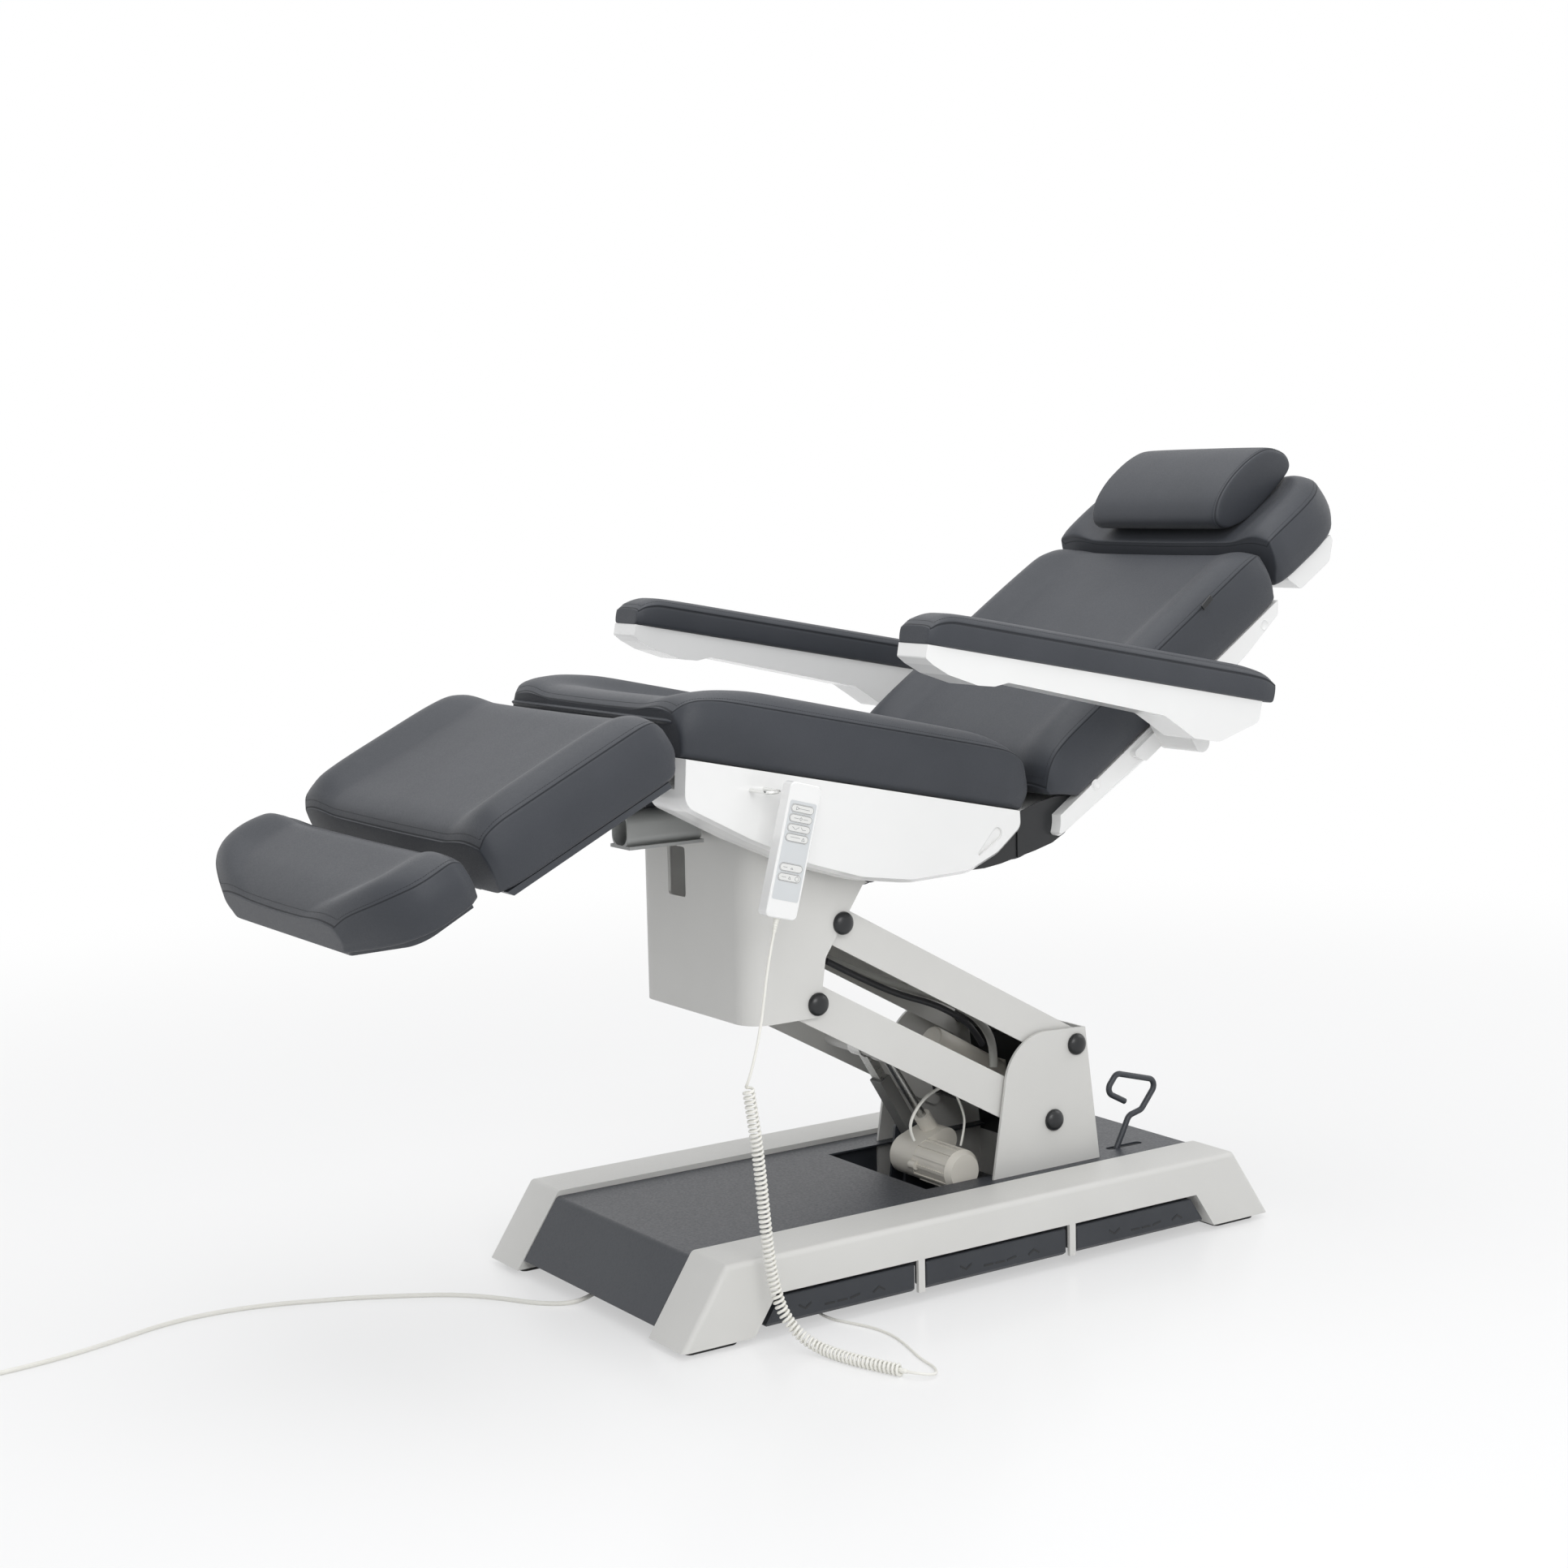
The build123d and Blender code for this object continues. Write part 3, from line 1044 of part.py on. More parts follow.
foot_board_top = -foot_seam - foot_thick - seat_gap
foot_board_low = foot_board_top - board_thick - edge_round
foot_board_at = lie(*leg_start, leg_angle, 0, foot_board_top)
with BuildPart() as foot_frame:
    with BuildSketch(Plane(origin=(foot_board_at[0], 0, foot_board_at[1]),
                           x_dir=(math.cos(math.radians(leg_angle)), 0, math.sin(math.radians(leg_angle))),
                           z_dir=(-math.sin(math.radians(leg_angle)), 0, math.cos(math.radians(leg_angle))))):
        face_of([(foot_first + board_thick, -foot_board_half * 0.615),
                 (foot_first + board_thick, foot_board_half * 0.615),
                 (foot_first + foot_length_all * 0.39, foot_board_half),
                 (foot_first + foot_length_all - board_thick, foot_board_half * 0.978),
                 (foot_first + foot_length_all - board_thick, -foot_board_half * 0.978),
                 (foot_first + foot_length_all * 0.39, -foot_board_half)],
                [overrun / 2, overrun / 2, overrun, edge_round, edge_round, overrun])
    extrude(amount=-(board_thick + edge_round))
    for side in (-1, 1):
        with BuildSketch(section(leg_start, leg_angle, foot_first + foot_length_all / 2)):
            with Locations((side * runner_side, rod_centre)):
                Circle(foot_rod)
        extrude(amount=-foot_first - foot_length_all / 2 + foot_rod_in)
        with BuildSketch(across(leg_start, leg_angle, side * runner_side + runner_size / 2)):
            face_of([(foot_first + foot_length_all * 0.42, foot_board_low + edge_round),
                     (foot_first + foot_length_all - board_thick, foot_board_low + edge_round),
                     (foot_first + foot_length_all - board_thick, rod_centre - runner_size / 2),
                     (foot_first + foot_length_all * 0.50, rod_centre - runner_size / 2)],
                    [0, 0, edge_round, edge_round])
        extrude(amount=runner_size)
foot_frame.part.label = "foot_frame"

# ------------------------------------------------------------------ back shell
# Lower outline from the seat end to the head end: shares of the length and of the shell's depth,
# with the share of the common radius; then the stations across it.
shell_outline_shares = [(-0.05, 0.36, 0.5), (-0.21, 0.83, 5.0), (-0.60, 1.0, 5.0), (-1.045, 0.62, 0.5)]
shell_station_shares = [(-1.0, 0.72), (-0.955, 1.0), (0.955, 1.0), (1.0, 0.72)]
shell_top = -back_thick - seat_gap
back_board = 10.0
with BuildPart() as back_shell:
    for wide_share, deep_share in shell_station_shares:
        with BuildSketch(across(back_start, back_angle, back_shell_half * wide_share)):
            face_of([(-back_length * 1.045, shell_top), (-edge_round * 10, shell_top)]
                    + [(a * back_length, shell_top - back_board - (back_shell_thick - back_board) * b * deep_share)
                       for a, b, r in shell_outline_shares],
                    [0, 0] + [r * back_crown for a, b, r in shell_outline_shares])
    loft(ruled=True)
    with BuildSketch(across(back_pivot, 0, back_shell_half + overrun)):
        Circle(drum_radius + sheet)
    extrude(amount=back_shell_half + back_shell_half + overrun + overrun, mode=Mode.SUBTRACT)
    for side in (-1, 1):
        with BuildSketch(across(back_start, back_angle, side * (back_arm_side + back_arm_width / 2)
                                + back_arm_width / 2)):
            with Locations((-back_hinge_along, -back_hinge_down)):
                Circle(back_eye)
            with Locations((-back_hinge_along + drum_radius * 1.4, shell_top - back_eye * 1.0)):
                Circle(back_eye * 0.9)
            make_hull()
        extrude(amount=back_arm_width)
        with BuildSketch(across(back_pivot, 0, side * (back_arm_side + back_arm_width / 2) + back_arm_width)):
            Circle(back_pin + running)
        extrude(amount=back_arm_width + back_arm_width, mode=Mode.SUBTRACT)
        # lugs and pins of the head hinge
        with BuildSketch(across(back_start, back_angle, side * (neck_lug_side + neck_lug_width / 2)
                                + neck_lug_width / 2)):
            with Locations((head_hinge_along, -head_hinge_below)):
                Circle(neck_eye * 0.75)
            with Locations((-neck_eye * 3, shell_top - back_board * 1.6)):
                Circle(neck_eye * 0.6)
            make_hull()
        extrude(amount=neck_lug_width)
        with BuildSketch(across(head_pivot, 0, side * (neck_lug_side + neck_lug_width / 2))):
            Circle(neck_pin)
        extrude(amount=-(neck_lug_width * 1.5 + side_gap + side_gap))
back_shell.part.label = "back_shell"

# ------------------------------------------------------------------ head shell
head_shell_top = -head_thick - seat_gap
head_shell_low = head_shell_top - head_shell_thick
with BuildPart() as head_shell:
    with BuildSketch(across(head_start, head_angle, head_shell_half)):
        face_of([(neck_eye * 0.6, head_shell_top), (head_shell_length, head_shell_top),
                 (head_shell_length, head_shell_top - head_shell_thick * 0.30),
                 (head_shell_length * 0.80, head_shell_low), (neck_eye * 1.6, head_shell_low),
                 (neck_eye * 0.6, head_shell_top - neck_eye * 0.5)],
                [0, edge_round, edge_round * 3, neck_eye, neck_eye * 0.5, 0])
    extrude(amount=head_shell_half + head_shell_half)
    for side in (-1, 1):
        arm_low = side * (neck_lug_side + neck_lug_width * 1.5 + side_gap)
        with BuildSketch(across(head_start, head_angle, arm_low + neck_lug_width / 2)):
            with Locations((-head_hinge_u, -head_hinge_n)):
                Circle(neck_eye)
            with Locations((neck_eye * 2.5, head_shell_low + neck_eye)):
                Circle(neck_eye)
            with Locations((-head_hinge_u, head_shell_low - neck_eye * 0.25)):
                Circle(neck_eye * 0.75)
            make_hull()
        extrude(amount=neck_lug_width)
    with BuildSketch(across(head_pivot, 0, head_shell_half)):
        Circle(neck_pin + running)
    extrude(amount=head_shell_half + head_shell_half, mode=Mode.SUBTRACT)
head_shell.part.label = "head_shell"

# ------------------------------------------------------------------ pillow roll
pillow_shares = [(0.36, 0.0, 0.05), (1.0, 0.155, 0.08), (1.03, 0.40, 0.2), (0.88, 0.86, 0.25), (0.55, 1.0, 0.6),
                 (0.14, 0.82, 0.25), (0.0, 0.45, 0.15), (0.05, 0.20, 0.12)]
pillow_station_shares = [(-1.0, 0.88), (-0.90, 1.0), (0.90, 1.0), (1.0, 0.88)]
pillow_rest = head_crown - head_dip + seat_gap
with BuildPart() as pillow:
    for side_share, size_share in pillow_station_shares:
        with BuildSketch(across(head_start, head_angle, side_share * pillow_half)):
            face_of([(pillow_length * (0.5 + (a - 0.5) * size_share), pillow_rest + b * pillow_height * size_share)
                     for a, b, r in pillow_shares], [r * pillow_height * size_share for a, b, r in pillow_shares])
    loft(ruled=True)
pillow.part.label = "pillow"

# ------------------------------------------------------------------ armrests
# Side outline of the white frame: shares of its length and depth, and of the common corner radius.
armrest_shares = [(0.0, 0.0, 0.0), (0.0, 0.27, 0.6), (0.022, 0.38, 0.8), (0.066, 0.52, 2.0), (0.146, 0.63, 3.0),
                  (0.190, 0.60, 2.0), (0.226, 0.48, 1.5), (0.264, 0.49, 2.0), (0.678, 0.63, 3.0),
                  (0.732, 0.83, 1.5), (0.776, 1.0, 2.0), (0.854, 0.99, 2.0), (0.966, 0.45, 2.0), (0.968, 0.0, 0.0)]
pad_shares = [(0.0, 0.86, 0.60, 0.30), (0.02, 0.95, 0.85, 0.60), (0.06, 1.0, 1.0, 0.90), (0.16, 1.0, 1.0, 1.0),
              (0.88, 1.0, 1.0, 1.0), (0.96, 0.98, 0.95, 0.80), (1.0, 0.90, 0.75, 0.45)]
armrest_middle = armrest_inner + armrest_width / 2
frame_low = armrest_inner + armrest_inset
frame_wide = armrest_width - armrest_inset - armrest_inset


def armrest_pad_face(half, bottom, seam, crown, corner):
    """Cross-section of an armrest pad, with one crown."""
    with BuildLine() as edge:
        Line((-(half - corner), bottom), (half - corner, bottom))
        for side in (1, -1):
            TangentArc((side * (half - corner), bottom), (side * half, bottom + corner), tangent=(side, 0))
            Line((side * half, bottom + corner), (side * half, seam))
            TangentArc((side * half * 0.35, seam + crown), (side * half, seam), tangent=(side, 0))
        Line((-half * 0.35, seam + crown), (half * 0.35, seam + crown))
    make_face(edge.edges())


with BuildPart() as armrest_frame_near:
    with BuildSketch(across(armrest_start, armrest_angle, -frame_low)):
        face_of([(a * armrest_length, -b * armrest_depth) for a, b, r in armrest_shares],
                [r * armrest_inset for a, b, r in armrest_shares])
    extrude(amount=frame_wide)
    with BuildSketch(across(armrest_pivot, 0, -frame_low + overrun)):
        Circle(armrest_pin + running)
    extrude(amount=overrun + armrest_bite + edge_round, mode=Mode.SUBTRACT)
armrest_frame_near.part.label = "armrest_frame_near"
with BuildPart() as armrest_frame_far:
    mirror(armrest_frame_near.part, about=Plane.XZ)
armrest_frame_far.part.label = "armrest_frame_far"

with BuildPart() as armrest_pad_near:
    for along, wide, seam_share, crown_share in pad_shares:
        station = section(armrest_start, armrest_angle, along * armrest_length)
        with BuildSketch(Plane(origin=(station.origin.X, -armrest_middle, station.origin.Z),
                               x_dir=station.x_dir, z_dir=station.z_dir)):
            armrest_pad_face(armrest_width / 2 * wide, 0, armrest_pad * seam_share,
                             armrest_crown * crown_share, armrest_inset)
    loft(ruled=True)
armrest_pad_near.part.label = "armrest_pad_near"
with BuildPart() as armrest_pad_far:
    mirror(armrest_pad_near.part, about=Plane.XZ)
armrest_pad_far.part.label = "armrest_pad_far"

with BuildPart() as bracket_near:
    with BuildSketch(across(back_start, back_angle, -back_shell_half)):
        face_of([(-armrest_back_u - armrest_boss_drop * 2, shell_top - back_board / 2),
                 (-armrest_back_u + armrest_boss_drop * 2, shell_top - back_board / 2),
                 (-armrest_back_u + armrest_boss_drop * 1.5, shell_top - back_shell_thick * 0.7),
                 (-armrest_back_u - armrest_boss_drop * 1.5, shell_top - back_shell_thick * 0.7)], bracket_plate / 2)
    extrude(amount=bracket_plate)
    with BuildSketch(across(back_start, back_angle, -back_half - edge_round)):
        with Locations((-armrest_back_u, -armrest_back_n), (-armrest_back_u, -armrest_back_n - armrest_boss_drop)):
            Circle(armrest_boss)
        make_hull()
    extrude(amount=armrest_boss_end - back_half - edge_round)
    with BuildSketch(across(armrest_pivot, 0, -armrest_boss_end + edge_round)):
        Circle(armrest_pin)
    extrude(amount=frame_low + armrest_bite - armrest_boss_end + edge_round)
bracket_near.part.label = "armrest_bracket_near"
with BuildPart() as bracket_far:
    mirror(bracket_near.part, about=Plane.XZ)
bracket_far.part.label = "armrest_bracket_far"

# ------------------------------------------------------------------ pedals
pedals = []
pedal_low = pin_height - pedal_height / 2
pedal_high = pedal_low + pedal_height
pedal_middle = post_offset - post_width / 2 - pedal_gap
for name, place, left, right, lean_left, lean_right in (
        ("foot", -pedal_outer_x, -pedal_outer_foot, -pedal_inner, 1, 0),
        ("middle", 0.0, -pedal_middle, pedal_middle, 0, 0),
        ("head", pedal_outer_x, pedal_inner, pedal_outer_foot, 0, 1)):
    with BuildPart() as pedal:
        with BuildSketch(Plane.XZ.offset(pedal_back)):
            face_of([(left, pedal_low), (right, pedal_low), (right - lean_right * slope * pedal_height, pedal_high),
                     (left + lean_left * slope * pedal_height, pedal_high)], pedal_round)
        extrude(amount=pedal_depth)
        chamfer(pedal.faces().sort_by(Axis.Y)[0].edges(), edge_round)
        with BuildSketch(Plane.YZ.offset(left - overrun)):
            face_of([(-pedal_face - overrun, pedal_low - overrun), (-pedal_face - overrun, pedal_low + pedal_bevel),
                     (-pedal_face, pedal_low + pedal_bevel), (-pedal_face + pedal_bevel, pedal_low),
                     (-pedal_face + pedal_bevel, pedal_low - overrun)])
        extrude(amount=right - left + overrun + overrun, mode=Mode.SUBTRACT)
        with BuildSketch(Plane.XZ.offset(member_inner + member_width + side_gap)):
            with Locations((place, pin_height)):
                Circle(pedal_hub)
        extrude(amount=pedal_back - member_inner - member_width - side_gap + edge_round)
        with BuildSketch(Plane.XZ.offset(member_inner)):
            with Locations((place, pin_height)):
                Circle(pedal_pin + running)
        extrude(amount=pedal_face - pedal_depth / 2 + edge_round - member_inner, mode=Mode.SUBTRACT)
    pedal.part.label = "pedal_near_" + name
    with BuildPart() as pedal_far:
        mirror(pedal.part, about=Plane.XZ)
    pedal_far.part.label = "pedal_far_" + name
    pedals += [pedal.part, pedal_far.part]

# ------------------------------------------------------------------ handset and its hook
lean = math.radians(handset_lean)
face_plane = Plane(origin=(handset_x, -handset_front, handset_z),
                   x_dir=(math.cos(lean), 0, -math.sin(lean)), z_dir=(0, -1, 0))
button_spots = [(0.0, button_top - k * button_pitch) for k in range(4)]
button_spots += [(0.0, button_low - k * button_pitch) for k in range(2)]
relief_at = face_plane.from_local_coords(Vector(0, -handset_height / 2 + edge_round, -handset_thick / 2))
relief_end = face_plane.from_local_coords(Vector(0, -handset_height / 2 + edge_round - relief_length,
                                                 -handset_thick / 2))
with BuildPart() as handset:
    with BuildSketch(face_plane):
        RectangleRounded(handset_width, handset_height, handset_round)
    extrude(amount=-handset_thick)
    chamfer(handset.faces().sort_by(Axis.Y)[0].edges(), edge_round)
    chamfer(handset.faces().sort_by(Axis.Y)[-1].edges(), edge_round)
    with BuildSketch(face_plane):
        with Locations(*button_spots):
            SlotOverall(button_width + seat_gap + seat_gap, button_height + seat_gap + seat_gap)
    extrude(amount=-(button_depth + button_travel + seat_gap), mode=Mode.SUBTRACT)
    with BuildSketch(Plane(origin=relief_at, x_dir=(0, 1, 0), z_dir=(-math.sin(lean), 0, -math.cos(lean)))):
        Circle(relief_radius)
    extrude(amount=relief_length, taper=5)
handset.part.label = "handset"
buttons = []
for k, spot in enumerate(button_spots):
    with BuildPart() as button:
        with BuildSketch(face_plane.offset(button_rise)):
            with Locations(spot):
                SlotOverall(button_width, button_height)
        extrude(amount=-(button_rise + button_depth))
    button.part.label = "button_" + str(k + 1)
    buttons.append(button.part)

hook_out = handset_front - handset_thick - hook_wire - seat_gap
with BuildPart() as hook:
    with BuildLine() as wire:
        FilletPolyline((-hook_x - hook_half, -pod_half, hook_z), (-hook_x - hook_half, -hook_out, hook_z),
                       (-hook_x + hook_half, -hook_out, hook_z), (-hook_x + hook_half, -pod_half, hook_z),
                       radius=hook_half - edge_round)
    with BuildSketch(Plane(origin=(-hook_x - hook_half, -pod_half, hook_z), z_dir=(0, -1, 0))):
        Circle(hook_wire)
    sweep(path=wire.wires()[0])
hook.part.label = "handset_hook"

# ------------------------------------------------------------------ rear hook lever
# The rod's route in side view, from its shaft up and round the hook: shares of its height and reach.
lever_height = 184.0
lever_reach_shares = [(0.0, 0.0), (0.076, 0.293), (0.228, 0.576), (0.380, 0.610), (0.587, 0.853), (0.082, 0.990),
                      (-0.049, 0.837), (0.179, 0.717)]
lever_radii_shares = [0.14, 0.08, 0.08, 0.07, 0.07, 0.07]
with BuildPart() as lever:
    with BuildLine() as rod:
        FilletPolyline(*((lever_x + a * lever_height, -lever_side, lever_z + b * lever_height)
                         for a, b in lever_reach_shares), radius=[r * lever_height for r in lever_radii_shares])
    with BuildSketch(Plane(origin=rod.wires()[0] @ 0, z_dir=rod.wires()[0] % 0)):
        Circle(lever_radius)
    sweep(path=rod.wires()[0])
    with BuildSketch(Plane.XZ.offset(-member_inner + side_gap)):
        with Locations((lever_x, lever_z)):
            Circle(lever_shaft)
    extrude(amount=member_inner + member_inner - side_gap - side_gap)
lever.part.label = "rear_lever"
with BuildPart() as chassis_full:
    add(chassis.part)
    for side in (-1, 1):
        with BuildSketch(Plane.XZ.offset(-side * (member_inner - sheet) - sheet)):
            with Locations((lever_x, lever_z)):
                Circle(lever_shaft + lever_shaft)
                Circle(lever_shaft + running, mode=Mode.SUBTRACT)
        extrude(amount=sheet + sheet)
        with BuildSketch(Plane.XZ.offset(-side * (member_inner - sheet) - sheet)):
            with Locations((lever_x, (lever_z - lever_shaft + pan_clear) / 2)):
                Rectangle(lever_shaft * 2, lever_z - lever_shaft - pan_clear - running - running)
        extrude(amount=sheet + sheet)
chassis_full.part.label = "chassis"
with BuildPart() as cover_full:
    add(base_cover.part)
    with BuildSketch(Plane.XY.offset(cover_top + overrun)):
        with Locations((lever_x + lever_swing * 0.9, -lever_side)):
            SlotOverall(lever_swing * 2.2, lever_radius * 2 + sheet)
    extrude(amount=-(overrun + cover_flange + thin_sheet), mode=Mode.SUBTRACT)
cover_full.part.label = "base_cover"


# ------------------------------------------------------------------ cords
def bent_path(points, radii):
    """Straight runs joined by tangent arcs, in space; returns its length."""
    points = [Vector(*p) for p in points]
    here = points[0]
    total = 0
    for k in range(1, len(points) - 1):
        before = (points[k - 1] - points[k]).normalized()
        after = (points[k + 1] - points[k]).normalized()
        turn = math.pi - math.radians(before.get_angle(after))
        back = radii[k - 1] * math.tan(turn / 2)
        first, last = points[k] + before * back, points[k] + after * back
        out = (before + after).normalized()
        middle = points[k] + out * (radii[k - 1] / math.cos(turn / 2) - radii[k - 1])
        Line(here, first)
        ThreePointArc(first, middle, last)
        total += (first - here).length + radii[k - 1] * turn
        here = last
    Line(here, points[-1])
    return total + (points[-1] - here).length


def largest_radii(points):
    """The largest arc that each corner's two runs allow."""
    points = [Vector(*p) for p in points]
    radii = []
    for k in range(1, len(points) - 1):
        before, after = points[k - 1] - points[k], points[k + 1] - points[k]
        turn = math.pi - math.radians(before.get_angle(after))
        radii.append(0.45 * min(before.length, after.length) / math.tan(turn / 2))
    return radii


def tube(points, radii, radius, label):
    with BuildPart() as cord:
        with BuildLine() as path:
            length = bent_path(points, radii)
        route = path.wires()[0]
        with BuildSketch(Plane(origin=route @ 0, z_dir=route % 0)):
            Circle(radius)
        sweep(path=route)
    cord.part.label = label
    print(label, "length", round(length, 1), "radii", [round(r) for r in radii],
          "volume over section by length", round(cord.part.volume / (math.pi * radius ** 2 * length), 4))
    return cord.part


# mains cord: from the base's inlet over the floor to the put-away coil
floor_z = mains_radius + running
mains_points = [(-inlet_reach, inlet_side, inlet_height), (-inlet_reach - inlet_run, inlet_side, inlet_height),
                (-545, inlet_side, 8),
                (-582, 24, floor_z), (-622, 60, floor_z), (-652, 115, floor_z),
                (-698, 172, floor_z), (-762, 215, floor_z), (-822, 250, floor_z), (-884, 278, floor_z),
                (-946, 303, floor_z), (-1011, 318, floor_z), (-1070, 321, floor_z), (-1128, 312, floor_z),
                (-1190, 291, floor_z), (-1260, 271, floor_z), (-1335, 258, floor_z), (-1410, 254, floor_z),
                (-1470, 254, floor_z)]
mains_radii = largest_radii(mains_points)
mains_cord = tube(mains_points, mains_radii, mains_radius, "mains_cord")

coil_start = Vector(*mains_points[-1])
coil_second = floor_z + mains_radius * 2 + edge_round / 2
with BuildPart() as mains_coil:
    with BuildLine() as wound:
        here = coil_start
        step = Vector(-mains_radius * 2 - edge_round, 0, 0)
        Line(here, here + step)
        here = here + step
        up, along = 1, -1
        marks = []
        for layer in range(2):
            for k in range(coil_loops * 2 - layer):
                ring = coil_radius - coil_pitch / 2 * (k if layer == 0 else coil_loops * 2 - 2 - k)
                rise = coil_second - floor_z if layer == 0 and k == coil_loops * 2 - 1 else 0
                there = here + Vector(0, up * 2 * math.sqrt(ring ** 2 - (rise / 2) ** 2), rise)
                centre = (here + there) * 0.5
                ThreePointArc(here, centre + Vector(along * ring, 0, 0), there)
                for t in range(12):
                    a = math.pi * t / 12
                    marks.append(centre + (here - centre) * math.cos(a) + Vector(along * ring * math.sin(a), 0, 0))
                here, up, along = there, -up, -along
        tail = Vector(along * coil_radius * 1.1, 0, 0)
        Line(here, here + tail)
        coil_end = here + tail
    wound_route = wound.wires()[0]
    with BuildSketch(Plane(origin=wound_route @ 0, z_dir=wound_route % 0)):
        RegularPolygon(mains_radius, 8)
    sweep(path=wound_route, clean=False)
mains_coil.part.label = "mains_coil"
least = min((marks[i] - marks[j]).length for i in range(len(marks)) for j in range(i + 6, len(marks)))
print("coil length", round(wound_route.length, 1), "least gap between loops", round(least - 2 * mains_radius, 2))

plug_width = 36.0
plug_length = 34.0
plug_pin = 2.0
plug_pin_gap = 19.0
plug_pin_length = 19.0
plug_at = Plane(origin=coil_end, x_dir=(0, 1, 0), z_dir=(along, 0, 0))
with BuildPart() as plug:
    with BuildSketch(plug_at):
        Circle(mains_radius + edge_round)
    extrude(amount=plug_length / 2)
    with BuildSketch(plug_at.offset(plug_length / 3)):
        RectangleRounded(plug_width * 0.7, coil_second * 1.3, mains_radius)
    with BuildSketch(plug_at.offset(plug_length)):
        RectangleRounded(plug_width, coil_second * 1.9, mains_radius * 1.5)
    loft(ruled=True)
    with BuildSketch(plug_at.offset(plug_length - edge_round)):
        with Locations((-plug_pin_gap / 2, 0), (plug_pin_gap / 2, 0)):
            Circle(plug_pin)
    extrude(amount=plug_pin_length + edge_round)
plug.part.label = "mains_plug"

# handset cord: a thin straight run, the curls down to the floor, and a thin tail into the base
thin_points = [tuple(relief_end), tuple(relief_end + (relief_end - relief_at) * 1.6), (-441, -328, 541), (-450, -329, 482), (-464, -330, 432),
               (-477, -330, 392)]
curl_points = [(-477, -330, 392), (-467, -330, 330), (-460, -331, 262), (-455, -332, 195), (-450, -334, 135),
               (-443, -338, 86), (-433, -347, 50), (-419, -366, 24), (-405, -395, 11), (-396, -440, 9.6),
               (-382, -487, 9.6), (-364, -534, 9.6)]
tail_points = [(-330, -568, 6), (-309, -536, 3), (-303, -492, 2.4), (-288, -446, 2.4),
               (-276, -398, 2.4), (-276, -352, 2.4), (-290, -312, 2.4), (-304, -280, 2.4), (-312, -254, 7), (-317, -232, 20),
               (-318, -214, 28), (-318, -190, 28)]
curl_end = Vector(*curl_points[-1])
half_turns = curl_count * 2


def biarc(first, first_way, last, last_way):
    """Two arcs that leave one point and reach the next in the given directions."""
    gap = last - first
    both = first_way + last_way
    spread = 2 * (1 - first_way.dot(last_way))
    if spread < 1e-6:
        Line(first, last)
        return (last - first).length
    reach = (-gap.dot(both) + math.sqrt(gap.dot(both) ** 2 + spread * gap.dot(gap))) / spread
    join = (first + last + (first_way - last_way) * reach) * 0.5
    one = TangentArc(first, join, tangent=first_way)
    two = TangentArc(join, last, tangent=one % 1)
    return one.length + two.length


with BuildPart() as handset_cord:
    with BuildLine(mode=Mode.PRIVATE) as axis_line:
        Spline(*curl_points)
    axis_edge = axis_line.edges()[0]
    with BuildLine() as cord_line:
        thin_length = bent_path(thin_points, largest_radii(thin_points))
        pitch = axis_edge.length / (half_turns + 3)
        side_way = Vector(0, 1, 0)
        spots = []
        for k in range(half_turns + 1):
            at = (k + 1.5) * pitch / axis_edge.length
            way = axis_edge % at
            side_way = (side_way - way * side_way.dot(way)).normalized()
            cross = way.cross(side_way)
            sign = 1 if k % 2 == 0 else -1
            lean_way = (cross * (sign * math.pi * curl_radius) + way * pitch).normalized()
            spots.append(((axis_edge @ at) + side_way * (sign * curl_radius), lean_way))
        first_way = Vector(*thin_points[-1]) - Vector(*thin_points[-2])
        wound_length = biarc(Vector(*thin_points[-1]), first_way.normalized(), *spots[0])
        for k in range(half_turns):
            wound_length += biarc(*spots[k], *spots[k + 1])
        end_way = (axis_edge % 1)
        end_start = curl_end - end_way * curl_wire * 2
        wound_length += biarc(*spots[-1], end_start, end_way)
        Line(end_start, curl_end)
    cord_route = cord_line.wires()[0]
    with BuildSketch(Plane(origin=cord_route @ 0, z_dir=cord_route % 0)):
        RegularPolygon(curl_wire, 5)
    sweep(path=cord_route, clean=False)
handset_cord.part.label = "handset_cord"
marks = [e @ t for e in cord_route.edges()[len(thin_points) * 2:] for t in (0.25, 0.5, 0.75, 1.0)]
least = min((marks[i] - marks[j]).length for i in range(0, len(marks)) for j in range(i + 6, min(i + 40, len(marks))))
print("handset cord length", round(cord_route.length, 1), "curls", curl_count,
      "least gap between curls", round(least - 2 * curl_wire, 2))
tail_points = [tuple(curl_end), tuple(curl_end + end_way * curl_radius * 3.4)] + tail_points
tail_radii = largest_radii(tail_points)
handset_tail = tube(tail_points, tail_radii, curl_wire, "handset_cord_tail")

# ------------------------------------------------------------------ export
pieces = [rail_near.part, rail_far.part, pads_near.part, pads_far.part, cover_full.part, chassis_full.part, tower.part, *shafts,
          upper_arm.part, lower_arm.part, lift_drive.part, lift_rod.part, prop_sleeve_piece.part, prop_rod.part,
          rear_drive.part, column_box.part, seat_frame_full.part, seat_cover.part, seat_cushion.part,
          leg_drive.part, leg_frame.part, leg_cushion.part, foot_frame.part, foot_cushion.part,
          back_shell.part, back_cushion.part, head_shell.part, head_cushion.part, pillow.part,
          armrest_frame_near.part, armrest_frame_far.part, armrest_pad_near.part, armrest_pad_far.part,
          bracket_near.part, bracket_far.part, *pedals, handset.part, *buttons, hook.part, lever.part,
          mains_cord, mains_coil.part, plug.part, handset_cord.part, handset_tail]
os.makedirs("parts", exist_ok=True)
